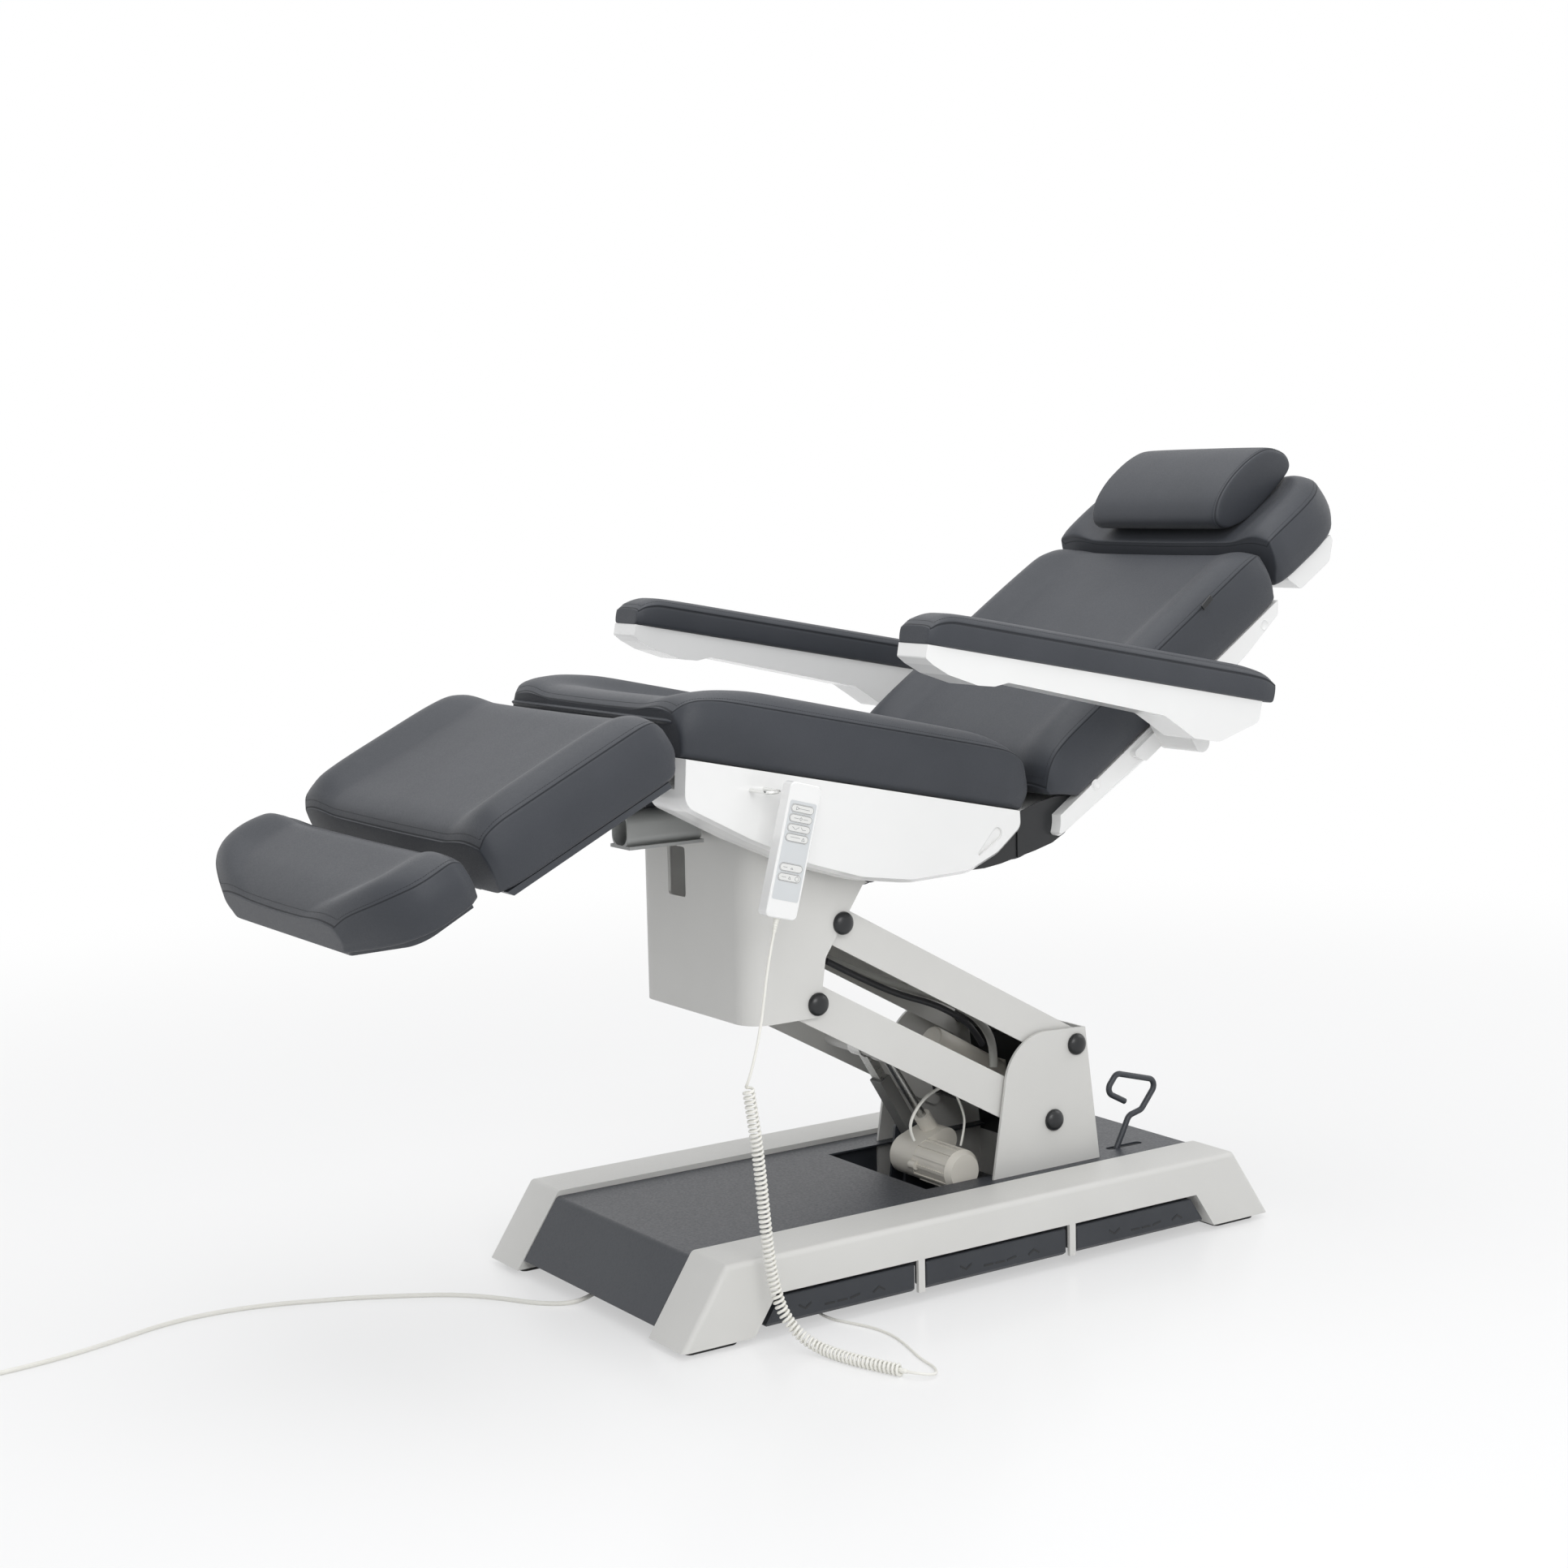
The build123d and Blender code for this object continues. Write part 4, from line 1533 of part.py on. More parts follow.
for piece in pieces:
    export_step(piece, "parts/" + piece.label + ".step")
print(len(pieces), "pieces")
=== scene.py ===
# %% [markdown]
# # A treatment chair, dressed piece by piece
#
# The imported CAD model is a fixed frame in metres: +X is the head end, +Y the far side, +Z up.
# This lesson keeps the steel parts of that frame, gives them real finishes, and builds the
# cushions, the white mouldings' trim, the cords and the small fittings around it.

import math

import bmesh
import bpy
from mathutils import Matrix, Vector
from mathutils.geometry import tessellate_polygon


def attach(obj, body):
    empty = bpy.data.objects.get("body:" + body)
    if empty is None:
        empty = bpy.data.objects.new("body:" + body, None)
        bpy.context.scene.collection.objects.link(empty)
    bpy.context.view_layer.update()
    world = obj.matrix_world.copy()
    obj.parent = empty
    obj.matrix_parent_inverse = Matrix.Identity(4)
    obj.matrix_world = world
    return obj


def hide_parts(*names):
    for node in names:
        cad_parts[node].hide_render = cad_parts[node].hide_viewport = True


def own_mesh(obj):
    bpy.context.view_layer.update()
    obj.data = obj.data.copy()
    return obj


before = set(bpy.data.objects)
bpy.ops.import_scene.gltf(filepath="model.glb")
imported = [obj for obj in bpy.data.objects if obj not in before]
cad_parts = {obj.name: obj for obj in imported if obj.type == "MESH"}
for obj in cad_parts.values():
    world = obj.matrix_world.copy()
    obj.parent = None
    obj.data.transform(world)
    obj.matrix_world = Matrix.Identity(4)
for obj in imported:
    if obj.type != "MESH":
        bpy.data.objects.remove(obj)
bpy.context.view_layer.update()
print("nodes in the frame:", len(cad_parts))

# %% [markdown]
# Sizes in this lesson are written in millimetres, as on the chair's drawing, because most
# pieces are small. One helper turns them into metres. A second one places a point on a tilted
# piece: `u` runs along the piece towards the head end, `n` stands up from it, `y` goes across.

# %% Millimetres and tilted pieces
MM = 0.001
SIDES = ((-1, "near"), (1, "far"))


def mm(x, y, z):
    return Vector((x, y, z)) * MM


SEAT = (-522.03, 946.74, -12.0)
LEG = (-868.92, 785.15, 26.2)
BACK = (589.99, 1111.89, 33.8)
HEAD = (608.98, 1125.97, 33.5)
ARMREST = (-225.55, 1007.95, -10.8)


def on_piece(piece, u, y, n):
    """A point of a tilted piece, in metres: u along it, n square to it, y across the chair."""
    x, z, angle = piece
    c, s = math.cos(math.radians(angle)), math.sin(math.radians(angle))
    return mm(x + c * u - s * n, y, z + s * u + c * n)


def add_mesh(name, points, faces, smooth=True):
    """A new mesh object from points in metres."""
    mesh = bpy.data.meshes.new(name)
    mesh.from_pydata([tuple(p) for p in points], [], faces)
    mesh.validate()
    made = bpy.data.objects.new(name, mesh)
    bpy.context.scene.collection.objects.link(made)
    work = bmesh.new()
    work.from_mesh(mesh)
    bmesh.ops.recalc_face_normals(work, faces=work.faces)
    work.to_mesh(mesh)
    work.free()
    for face in mesh.polygons:
        face.use_smooth = smooth
    return made


# %% [markdown]
# The camera comes first, so every later choice can be judged in its picture. It stands low at
# the chair's foot end, a little tilted, with a 58.6 mm lens. Its three axes are written as the
# columns of a matrix: right, up and backwards.

# %% Camera
lens = bpy.data.cameras.new("studio_camera")
lens.lens = 58.643
lens.sensor_width = 36.0
lens.clip_start, lens.clip_end = 0.05, 60.0
camera = bpy.data.objects.new("studio_camera", lens)
bpy.context.scene.collection.objects.link(camera)
right = Vector((0.82798935, -0.56031633, -0.02189175))
upward = Vector((0.08478014, 0.0864984, 0.99263808))
backward = right.cross(upward).normalized()
stand = Matrix((right, upward, backward)).transposed().to_4x4()
stand.translation = (-2.39840571, -3.29386433, 1.2450307)
camera.matrix_world = stand
bpy.context.scene.camera = camera

# %% [markdown]
# ## Cords
#
# A cord is one smooth line with a round section. A NURBS spline with few control points gives
# that: it never kinks, and it lies between its points as a real cord lies between its supports.
# The spline's order and end rule are set after its points, or it would fall back to straight runs.

# %% A cord from its control points
def cord_curve(name, points, radius, sides=4):
    """One open NURBS spline through the space near its control points, in metres."""
    line = bpy.data.curves.new(name, "CURVE")
    line.dimensions = "3D"
    spline = line.splines.new("NURBS")
    spline.points.add(len(points) - 1)
    for place, point in zip(spline.points, points):
        place.co = (point[0], point[1], point[2], 1.0)
    spline.order_u = 3
    spline.use_endpoint_u = True
    line.resolution_u = 5
    line.bevel_depth = radius
    line.bevel_resolution = sides
    line.use_fill_caps = True
    cord = bpy.data.objects.new(name, line)
    bpy.context.scene.collection.objects.link(cord)
    return cord


def line_of(points, steps=16):
    """The points of a NURBS line with no thickness, read from Blender, in metres."""
    guide = cord_curve("guide_line", points, 0.0)
    guide.data.resolution_u = steps
    bpy.context.view_layer.update()
    mesh = bpy.data.meshes.new_from_object(guide.evaluated_get(bpy.context.evaluated_depsgraph_get()))
    read = [Vector(v.co) for v in mesh.vertices]
    bpy.data.objects.remove(guide)
    bpy.data.meshes.remove(mesh)
    return read


# %% [markdown]
# The mains lead is a 7 mm round flex. It leaves a gland under the foot end of the base, drops
# to the floor and wanders off to the left of the picture. The length that the picture doesn't
# show is put away in a neat coil of two layers, with the plug beside it.

# %% Mains lead and its coil
MAINS_RADIUS = 3.5
FLOOR_LINE = 3.55
on_floor = [(-582, 24), (-622, 60), (-652, 115), (-698, 172), (-762, 215), (-822, 250), (-884, 278),
            (-946, 303), (-1011, 318), (-1070, 321), (-1128, 312), (-1190, 291), (-1260, 271),
            (-1335, 258), (-1410, 254), (-1470, 254)]
mains_route = [(-500, 22, 23), (-518, 22, 23), (-545, 22, 8)] + [(x, y, FLOOR_LINE) for x, y in on_floor]
COIL_RADIUS, COIL_PITCH, COIL_LOOPS = 52.0, 8.4, 3
UPPER_LINE = FLOOR_LINE + 2 * MAINS_RADIUS + 0.75


def coil_turns():
    """Control points of the wound turns, six to each half turn, and where the coil ends."""
    here, side, bulge, points = Vector((-1478.5, 254, FLOOR_LINE)), 1, -1, []
    for layer in range(2):
        halves = COIL_LOOPS * 2 - layer
        for k in range(halves):
            ring = COIL_RADIUS - COIL_PITCH / 2 * (k if layer == 0 else COIL_LOOPS * 2 - 2 - k)
            climb = UPPER_LINE - FLOOR_LINE if layer == 0 and k == halves - 1 else 0.0
            there = here + Vector((0, side * 2 * math.sqrt(ring ** 2 - (climb / 2) ** 2), climb))
            centre = (here + there) / 2
            for j in range(6):
                a = math.pi * (j + 0.5) / 6
                out = 1 / math.cos(math.pi / 12)
                points.append(centre + (here - centre) * math.cos(a) * out
                              + Vector((bulge * ring * math.sin(a) * out, 0, 0)))
            here, side, bulge = there, -side, -bulge
    return points, here, here + Vector((bulge * COIL_RADIUS * 1.1, 0, 0))


turns, leaves, coil_end = coil_turns()
mains_line = [Vector(p) * MM for p in mains_route] + [p * MM for p in turns] + [leaves * MM, coil_end * MM]
mains_lead = cord_curve("mains_lead", mains_line, MAINS_RADIUS * MM, sides=5)
mains_lead.data.resolution_u = 8
print("mains lead ends at", [round(v) for v in coil_end])

# %% [markdown]
# The handset's cord has a thin straight top, then 78 curls that hang to the floor and lie
# there. The curls' middle line is read from its own NURBS line, and the helix winds round it:
# its points are the control points of the cord's one spline.

# %% Curly handset cord
CURL_RADIUS, CURL_WIRE, CURLS = 7.2, 2.1, 78
curl_route = [(-477, -330, 392), (-467, -330, 330), (-460, -331, 262), (-455, -332, 195),
              (-450, -334, 135), (-443, -338, 86), (-433, -347, 50), (-419, -366, 24),
              (-405, -395, 11), (-396, -440, 9.6), (-382, -487, 9.6), (-364, -534, 9.6)]


def curls_round(middle, radius, turns, steps=12):
    """Control points of a helix round a line of points: its ends lie on the line."""
    lengths = [0.0]
    for a, b in zip(middle, middle[1:]):
        lengths.append(lengths[-1] + (b - a).length)
    across = Vector((0, 1, 0))
    points, count, k = [], turns * steps, 0
    for i in range(count + 1):
        along = lengths[-1] * (0.006 + 0.988 * i / count)
        while k < len(lengths) - 2 and lengths[k + 1] < along:
            k += 1
        way = (middle[k + 1] - middle[k]).normalized()
        share = (along - lengths[k]) / (lengths[k + 1] - lengths[k])
        across = (across - way * across.dot(way)).normalized()
        beside = way.cross(across)
        a = 2 * math.pi * i / steps
        ring = (across * math.cos(a) + beside * math.sin(a)) * radius
        points.append(middle[k].lerp(middle[k + 1], share) + ring)
    return points


curl_middle = line_of([Vector(p) * MM for p in curl_route])
curl_points = curls_round(curl_middle, CURL_RADIUS * MM / math.cos(math.pi / 12), CURLS)
lean = math.radians(15)
down = Vector((-math.sin(lean), 0, -math.cos(lean)))
relief_at = mm(-393, -336 + 11, 720) + down * (194 / 2 - 1.5) * MM
relief_end = relief_at + down * 14 * MM
thin_top = [relief_end, relief_end + down * 22.4 * MM, mm(-441, -328, 541), mm(-450, -329, 482),
            mm(-464, -330, 432), mm(-475, -330, 400)]
curl_end = mm(-364, -534, 9.6)
end_way = (curl_middle[-1] - curl_middle[-3]).normalized()
curly_line = thin_top + curl_points + [curl_end - end_way * 4 * MM, curl_end]
curly_cord = cord_curve("handset_curly_cord", curly_line, CURL_WIRE * MM, sides=3)
curly_cord.data.resolution_u = 2

# %% [markdown]
# At the end of the curls a small moulded sleeve joins the cord's thin flat-lying tail, which
# runs back under the base and into its side.

# %% Tail of the handset cord
past_sleeve = [(-330, -568, 6), (-309, -536, 3), (-303, -492, 2.4), (-288, -446, 2.4), (-276, -398, 2.4),
               (-276, -352, 2.4), (-290, -312, 2.4), (-304, -280, 2.4), (-312, -254, 7), (-317, -232, 20),
               (-318, -214, 28), (-318, -190, 28)]
tail_route = [curl_end, curl_end + end_way * 24.5 * MM] + [mm(*p) for p in past_sleeve]
cord_tail = cord_curve("handset_cord_end", tail_route, CURL_WIRE * MM, sides=4)
cord_tail.data.resolution_u = 10


def line_length(points):
    return sum((b - a).length for a, b in zip(points, points[1:]))


mains_length = line_length(line_of(mains_line))
curly_length = line_length(line_of(thin_top + curl_points + [curl_end]))
tail_length = line_length(line_of(tail_route))
print("cord lengths", round(mains_length, 3), round(curly_length, 3), round(tail_length, 3))

# %% [markdown]
# ## Finishes
#
# Every finish is a small node tree: two noises vary colour and gloss, a fine one makes the
# bump. They read Object coordinates, which are metres in the chair's own frame, so a grain has
# its real size on every piece and slides on none.

# %% A finish from noise
def start_finish(name, base, rough, metallic=0.0):
    """A material with its Principled shader, and the object coordinates to feed its textures."""
    finish = bpy.data.materials.new(name)
    finish.use_nodes = True
    tree = finish.node_tree
    shader = tree.nodes["Principled BSDF"]
    shader.inputs["Base Color"].default_value = (*base, 1)
    shader.inputs["Roughness"].default_value = rough
    shader.inputs["Metallic"].default_value = metallic
    place = tree.nodes.new("ShaderNodeTexCoord")
    return finish, tree, shader, place.outputs["Object"]


def noise(tree, where, scale, detail=3.0, roughness=0.5):
    made = tree.nodes.new("ShaderNodeTexNoise")
    made.inputs["Scale"].default_value = scale
    made.inputs["Detail"].default_value = detail
    made.inputs["Roughness"].default_value = roughness
    tree.links.new(where, made.inputs["Vector"])
    return made.outputs["Fac"]


def spread(tree, value, low, high, from_low=0.3, from_high=0.7):
    """A number that follows a texture between two limits."""
    made = tree.nodes.new("ShaderNodeMapRange")
    made.inputs["From Min"].default_value = from_low
    made.inputs["From Max"].default_value = from_high
    made.inputs["To Min"].default_value = low
    made.inputs["To Max"].default_value = high
    tree.links.new(value, made.inputs["Value"])
    return made.outputs["Result"]


def vary_colour(tree, shader, value, one, two, low=0.35, high=0.65):
    ramp = tree.nodes.new("ShaderNodeValToRGB")
    ramp.color_ramp.elements[0].position = low
    ramp.color_ramp.elements[0].color = (*one, 1)
    ramp.color_ramp.elements[1].position = high
    ramp.color_ramp.elements[1].color = (*two, 1)
    tree.links.new(value, ramp.inputs["Fac"])
    tree.links.new(ramp.outputs["Color"], shader.inputs["Base Color"])
    return ramp


def bump(tree, shader, height, strength, distance, after=None):
    made = tree.nodes.new("ShaderNodeBump")
    made.inputs["Strength"].default_value = strength
    made.inputs["Distance"].default_value = distance
    tree.links.new(height, made.inputs["Height"])
    if after is not None:
        tree.links.new(after, made.inputs["Normal"])
    tree.links.new(made.outputs["Normal"], shader.inputs["Normal"])
    return made.outputs["Normal"]


# %% [markdown]
# The upholstery is a matt anthracite leatherette. Its grain is a net of tiny cells about a
# millimetre wide, over slow swells where the foam under it gives. A soft sheen lifts the
# surface at grazing angles.

# %% Leatherette
def leatherette(name, light, dark, rough=0.52):
    finish, tree, shader, where = start_finish(name, light, rough)
    cells = tree.nodes.new("ShaderNodeTexVoronoi")
    cells.feature = "DISTANCE_TO_EDGE"
    cells.inputs["Scale"].default_value = 900
    tree.links.new(where, cells.inputs["Vector"])
    broad = noise(tree, where, 9, 4)
    fine = noise(tree, where, 420, 2)
    vary_colour(tree, shader, broad, dark, light, 0.30, 0.72)
    tree.links.new(spread(tree, fine, rough - 0.05, rough + 0.07), shader.inputs["Roughness"])
    first = bump(tree, shader, cells.outputs["Distance"], 0.22, 0.0006)
    second = bump(tree, shader, fine, 0.10, 0.0008, first)
    bump(tree, shader, noise(tree, where, 22, 2), 0.10, 0.004, second)
    shader.inputs["Specular IOR Level"].default_value = 0.42
    shader.inputs["Sheen Weight"].default_value = 0.07
    shader.inputs["Sheen Roughness"].default_value = 0.45
    return finish


upholstery = leatherette("anthracite_leatherette", (0.041, 0.045, 0.054), (0.033, 0.037, 0.045))
seam_thread = leatherette("seam_thread", (0.014, 0.016, 0.021), (0.010, 0.012, 0.016), 0.7)

# %% [markdown]
# The steel of the base, tower and arms carries a satin powder coat: a warm light grey with the
# faint orange peel of baked paint. The cover plate has the same coat in anthracite.

# %% Powder coats and plastics
def powder_coat(name, light, dark, rough=0.42, peel=0.10):
    finish, tree, shader, where = start_finish(name, light, rough)
    vary_colour(tree, shader, noise(tree, where, 5, 5), dark, light, 0.3, 0.7)
    grit = noise(tree, where, 260, 3)
    tree.links.new(spread(tree, grit, rough - 0.06, rough + 0.08), shader.inputs["Roughness"])
    bump(tree, shader, noise(tree, where, 700, 2), peel, 0.0004)
    shader.inputs["Specular IOR Level"].default_value = 0.45
    return finish


def moulded(name, light, dark, rough, grain=0.05, coat=0.0, scale=600, edge=0.0):
    finish, tree, shader, where = start_finish(name, light, rough)
    rounded = None
    if edge:
        soft = tree.nodes.new("ShaderNodeBevel")
        soft.samples = 6
        soft.inputs["Radius"].default_value = edge * MM
        rounded = soft.outputs["Normal"]
    vary_colour(tree, shader, noise(tree, where, 7, 4), dark, light, 0.3, 0.7)
    if grain:
        gloss = noise(tree, where, 40, 4)
        tree.links.new(spread(tree, gloss, rough - 0.05, rough + 0.07), shader.inputs["Roughness"])
        bump(tree, shader, noise(tree, where, scale, 2), grain, 0.0003, rounded)
    else:
        gloss = noise(tree, where, 6, 2)
        tree.links.new(spread(tree, gloss, rough - 0.02, rough + 0.02), shader.inputs["Roughness"])
        if rounded:
            tree.links.new(rounded, shader.inputs["Normal"])
    shader.inputs["Coat Weight"].default_value = coat
    shader.inputs["Coat Roughness"].default_value = 0.12
    return finish


light_coat = powder_coat("light_grey_powder_coat", (0.700, 0.695, 0.670), (0.665, 0.660, 0.635))
strut_coat = powder_coat("grey_strut_coat", (0.19, 0.19, 0.185), (0.16, 0.16, 0.155), 0.40, 0.10)
dark_coat = powder_coat("anthracite_powder_coat", (0.046, 0.051, 0.060), (0.037, 0.041, 0.050), 0.40, 0.14)
WHITE, WHITE_SHADE = (0.87, 0.87, 0.86), (0.85, 0.85, 0.84)
white_moulding = moulded("white_moulding", WHITE, WHITE_SHADE, 0.24, 0.0, 0.35)
white_shell = moulded("white_shell_moulding", WHITE, WHITE_SHADE, 0.24, 0.0, 0.35, edge=1.6)
pedal_plastic = moulded("pedal_plastic", (0.030, 0.034, 0.041), (0.024, 0.027, 0.033), 0.50, 0.16, 0.0, 900)
grey_plastic = moulded("light_grey_plastic", (0.45, 0.46, 0.45), (0.40, 0.41, 0.40), 0.40, 0.06)
motor_plastic = moulded("beige_housing", (0.74, 0.71, 0.64), (0.69, 0.66, 0.59), 0.38, 0.08)
cap_plastic = moulded("black_cap_plastic", (0.009, 0.010, 0.012), (0.006, 0.007, 0.008), 0.34, 0.03, 0.1)
cord_sheath = moulded("white_cord_sheath", (0.86, 0.85, 0.80), (0.82, 0.81, 0.75), 0.36, 0.05)
key_overlay = moulded("light_grey_overlay", (0.64, 0.66, 0.67), (0.61, 0.63, 0.64), 0.40, 0.04)
key_face = moulded("pale_key_face", (0.76, 0.76, 0.74), (0.73, 0.73, 0.71), 0.42, 0.03)
key_line = moulded("key_outline_grey", (0.20, 0.21, 0.22), (0.17, 0.18, 0.19), 0.5, 0.02)
pad_rubber = moulded("black_rubber", (0.018, 0.018, 0.019), (0.012, 0.012, 0.013), 0.72, 0.25)
hose_rubber = moulded("dark_hose_rubber", (0.035, 0.036, 0.040), (0.025, 0.026, 0.030), 0.48, 0.10)
clear_hose = moulded("pale_hose", (0.50, 0.50, 0.47), (0.44, 0.44, 0.41), 0.30, 0.04, 0.3)


# %% [markdown]
# Bright parts are few: the handset's hook is chromed, and the rods are turned steel
# with fine rings round their axis from the tool.

# %% Metals
def turned_steel(name, tone, rough):
    finish, tree, shader, where = start_finish(name, (tone, tone, tone * 0.98), rough, 1.0)
    stretched = tree.nodes.new("ShaderNodeMapping")
    stretched.inputs["Scale"].default_value = (1, 14, 1)
    tree.links.new(where, stretched.inputs["Vector"])
    lines = noise(tree, stretched.outputs["Vector"], 160, 3)
    tree.links.new(spread(tree, lines, rough - 0.08, rough + 0.10), shader.inputs["Roughness"])
    bump(tree, shader, lines, 0.05, 0.0003)
    return finish


bright_chrome = turned_steel("bright_chrome", 0.80, 0.12)
rod_steel = turned_steel("turned_steel", 0.52, 0.30)

# %% [markdown]
# ## Upholstery
#
# Each cushion is a firm foam block in a sewn cover: a top panel with a raised roll along each
# side and a shallow channel between them, and a boxing strip round the edge. It is lofted as
# rings of one section, from end to end. The rings keep the same count of points, so the seam is
# simply the same point of every ring, pulled in a little, and the top part of the end rings.

# %% Smooth tables and the cushion's section
def through(rows, s):
    """Values of a table's rows at s, on smooth curves that never overshoot them."""
    k = max(i for i in range(len(rows) - 1) if s >= rows[i][0] or i == 0)
    out = []
    for c in range(1, len(rows[0])):
        step = [rows[i + 1][0] - rows[i][0] for i in range(len(rows) - 1)]
        rise = [(rows[i + 1][c] - rows[i][c]) / step[i] for i in range(len(rows) - 1)]
        slope = [rise[0]]
        for i in range(1, len(rows) - 1):
            a, b = rise[i - 1], rise[i]
            slope.append(0.0 if a * b <= 0 else 2 * a * b / (a + b))
        slope.append(rise[-1])
        t = (s - rows[k][0]) / step[k]
        out.append((2 * t ** 3 - 3 * t ** 2 + 1) * rows[k][c] + (t ** 3 - 2 * t ** 2 + t) * step[k] * slope[k]
                   + (-2 * t ** 3 + 3 * t ** 2) * rows[k + 1][c] + (t ** 3 - t ** 2) * step[k] * slope[k + 1])
    return out


def cushion_half(half, bottom, seam, crown, dip, bolster, corner):
    """One half of a cushion's section from the middle of its bottom to the middle of its top, as
    (y, n) in millimetres, and the place of the seam in it."""
    inset = bolster * 0.055
    top, peak, foot = seam + crown, half - bolster * 0.42, half - bolster
    edge = half - inset
    points = [(share * (edge - corner), bottom) for share in (0, 0.4, 0.8, 1.0)]
    for a in (25, 50, 75, 90):
        points.append((edge - corner + corner * math.sin(math.radians(a)),
                       bottom + corner - corner * math.cos(math.radians(a))))
    wall = seam - 3.0 - bottom - corner
    for t in (0.18, 0.36, 0.54, 0.72, 0.88):
        points.append((edge + inset * (1 - (2 * t - 1) ** 2), bottom + corner + wall * t))
    points += [(edge + inset * 0.10, seam - 2.6), (edge, seam - 1.1), (edge - 0.6, seam)]
    at_seam = len(points) - 1
    reach = edge - peak
    bow = (reach ** 2 + crown ** 2) / (2 * crown)
    start = math.atan2(seam - (top - bow), reach)
    for share in (1.1 / bow, 2.6 / bow, 7.0 / bow):
        points.append((peak + bow * math.cos(start + share), top - bow + bow * math.sin(start + share)))
    rest = math.pi / 2 - start - 7.0 / bow
    for t in (0.2, 0.4, 0.6, 0.8, 1.0):
        a = start + 7.0 / bow + rest * t
        points.append((peak + bow * math.cos(a), top - bow + bow * math.sin(a)))
    for t in (0.16, 0.32, 0.5, 0.68, 0.84, 1.0):
        points.append((peak + (foot - peak) * t, top - dip * (3 * t ** 2 - 2 * t ** 3)))
    for t in (0.66, 0.33, 0.0):
        points.append((foot * t, top - dip - 1.2 * (1 - t ** 2)))
    return points, at_seam


# %% [markdown]
# The loft closes each end with a few shrinking rings, a slightly bulged boxing. The cover's
# groove and its dark thread line follow from the ring indices. The mesh gets one level of
# subdivision, which is applied, because stitches are then laid on the real surface.

# %% Loft of a padded piece
def padded_loft(name, rings, seam, where, bulge=1.2, groove=1.0, trim=None, axis=0):
    """Mesh of a padded piece from rings of (u, y, n) in millimetres. where maps them to metres."""
    count = len(rings[0])
    last = len(rings) - 1
    middles = [[sum(p[c] for p in ring) / count for c in range(3)] for ring in rings]
    sewn = []
    for r, ring in enumerate(rings):
        middle = middles[r]
        new = []
        for i, p in enumerate(ring):
            on_seam = i in (seam, count - seam)
            on_end = r in (0, last) and seam <= i <= count - seam
            pull = groove if (on_seam or on_end) else 0.0
            away = Vector([middle[c] - p[c] for c in range(3)])
            move = away.normalized() * pull
            if on_end:
                inside = middles[1] if r == 0 else middles[-2]
                inward = inside[axis] - middle[axis]
                move[axis] += math.copysign(groove * 0.7, inward)
            new.append(Vector(p) + move)
        sewn.append(new)
    points, faces = [], []
    for ring in sewn:
        points += ring
    for r in range(last):
        for i in range(count):
            a, b = r * count + i, r * count + (i + 1) % count
            faces.append((a, b, b + count, a + count))
    for end, neighbour, first in ((0, 1, 0), (last, last - 1, last * count)):
        middle = Vector(middles[end])
        out = 1.0 if middles[end][axis] > middles[neighbour][axis] else -1.0
        before = list(range(first, first + count))
        for scale, push in ((0.990, 0.35), (0.965, 0.75), (0.88, 0.95), (0.66, 1.0), (0.36, 1.0)):
            ring = []
            for p in rings[end]:
                q = middle + (Vector(p) - middle) * scale
                q[axis] = middle[axis] + (p[axis] - middle[axis]) * scale + out * bulge * push
                ring.append(len(points))
                points.append(q)
            for i in range(count):
                faces.append((before[i], before[(i + 1) % count], ring[(i + 1) % count], ring[i]))
            before = ring
        points.append(middle + Vector([out * bulge if c == axis else 0.0 for c in range(3)]))
        for i in range(count):
            faces.append((before[i], before[(i + 1) % count], len(points) - 1))
    if trim:
        points = [Vector(trim(*p)) for p in points]
    made = add_mesh(name, [where(*p) for p in points], faces)
    made.data.materials.append(upholstery)
    made.data.materials.append(seam_thread)
    for face in made.data.polygons:
        on = [v for v in face.vertices if v < (last + 1) * count]
        side = sum(1 for v in on if v % count in (seam, count - seam)) >= 2
        end = sum(1 for v in on if v // count in (0, last) and seam <= v % count <= count - seam) >= 2
        near = all(abs(v // count - (0 if v // count < last / 2 else last)) <= 1 for v in on)
        if side or (end and near and len(on) == 4):
            face.material_index = 1
    finer = made.modifiers.new("rounding", "SUBSURF")
    finer.levels = finer.render_levels = 1
    bpy.context.view_layer.update()
    rounded = bpy.data.meshes.new_from_object(made.evaluated_get(bpy.context.evaluated_depsgraph_get()))
    made.modifiers.clear()
    old = made.data
    made.data = rounded
    rounded.name = name
    bpy.data.meshes.remove(old)
    for face in rounded.polygons:
        face.use_smooth = True
    return made, sewn


# %% [markdown]
# Top-stitching: a second row of thread, about 7 mm inside the seam. Each stitch is a tiny
# flattened rod that is laid on the cushion's real surface, found with a nearest-point query.

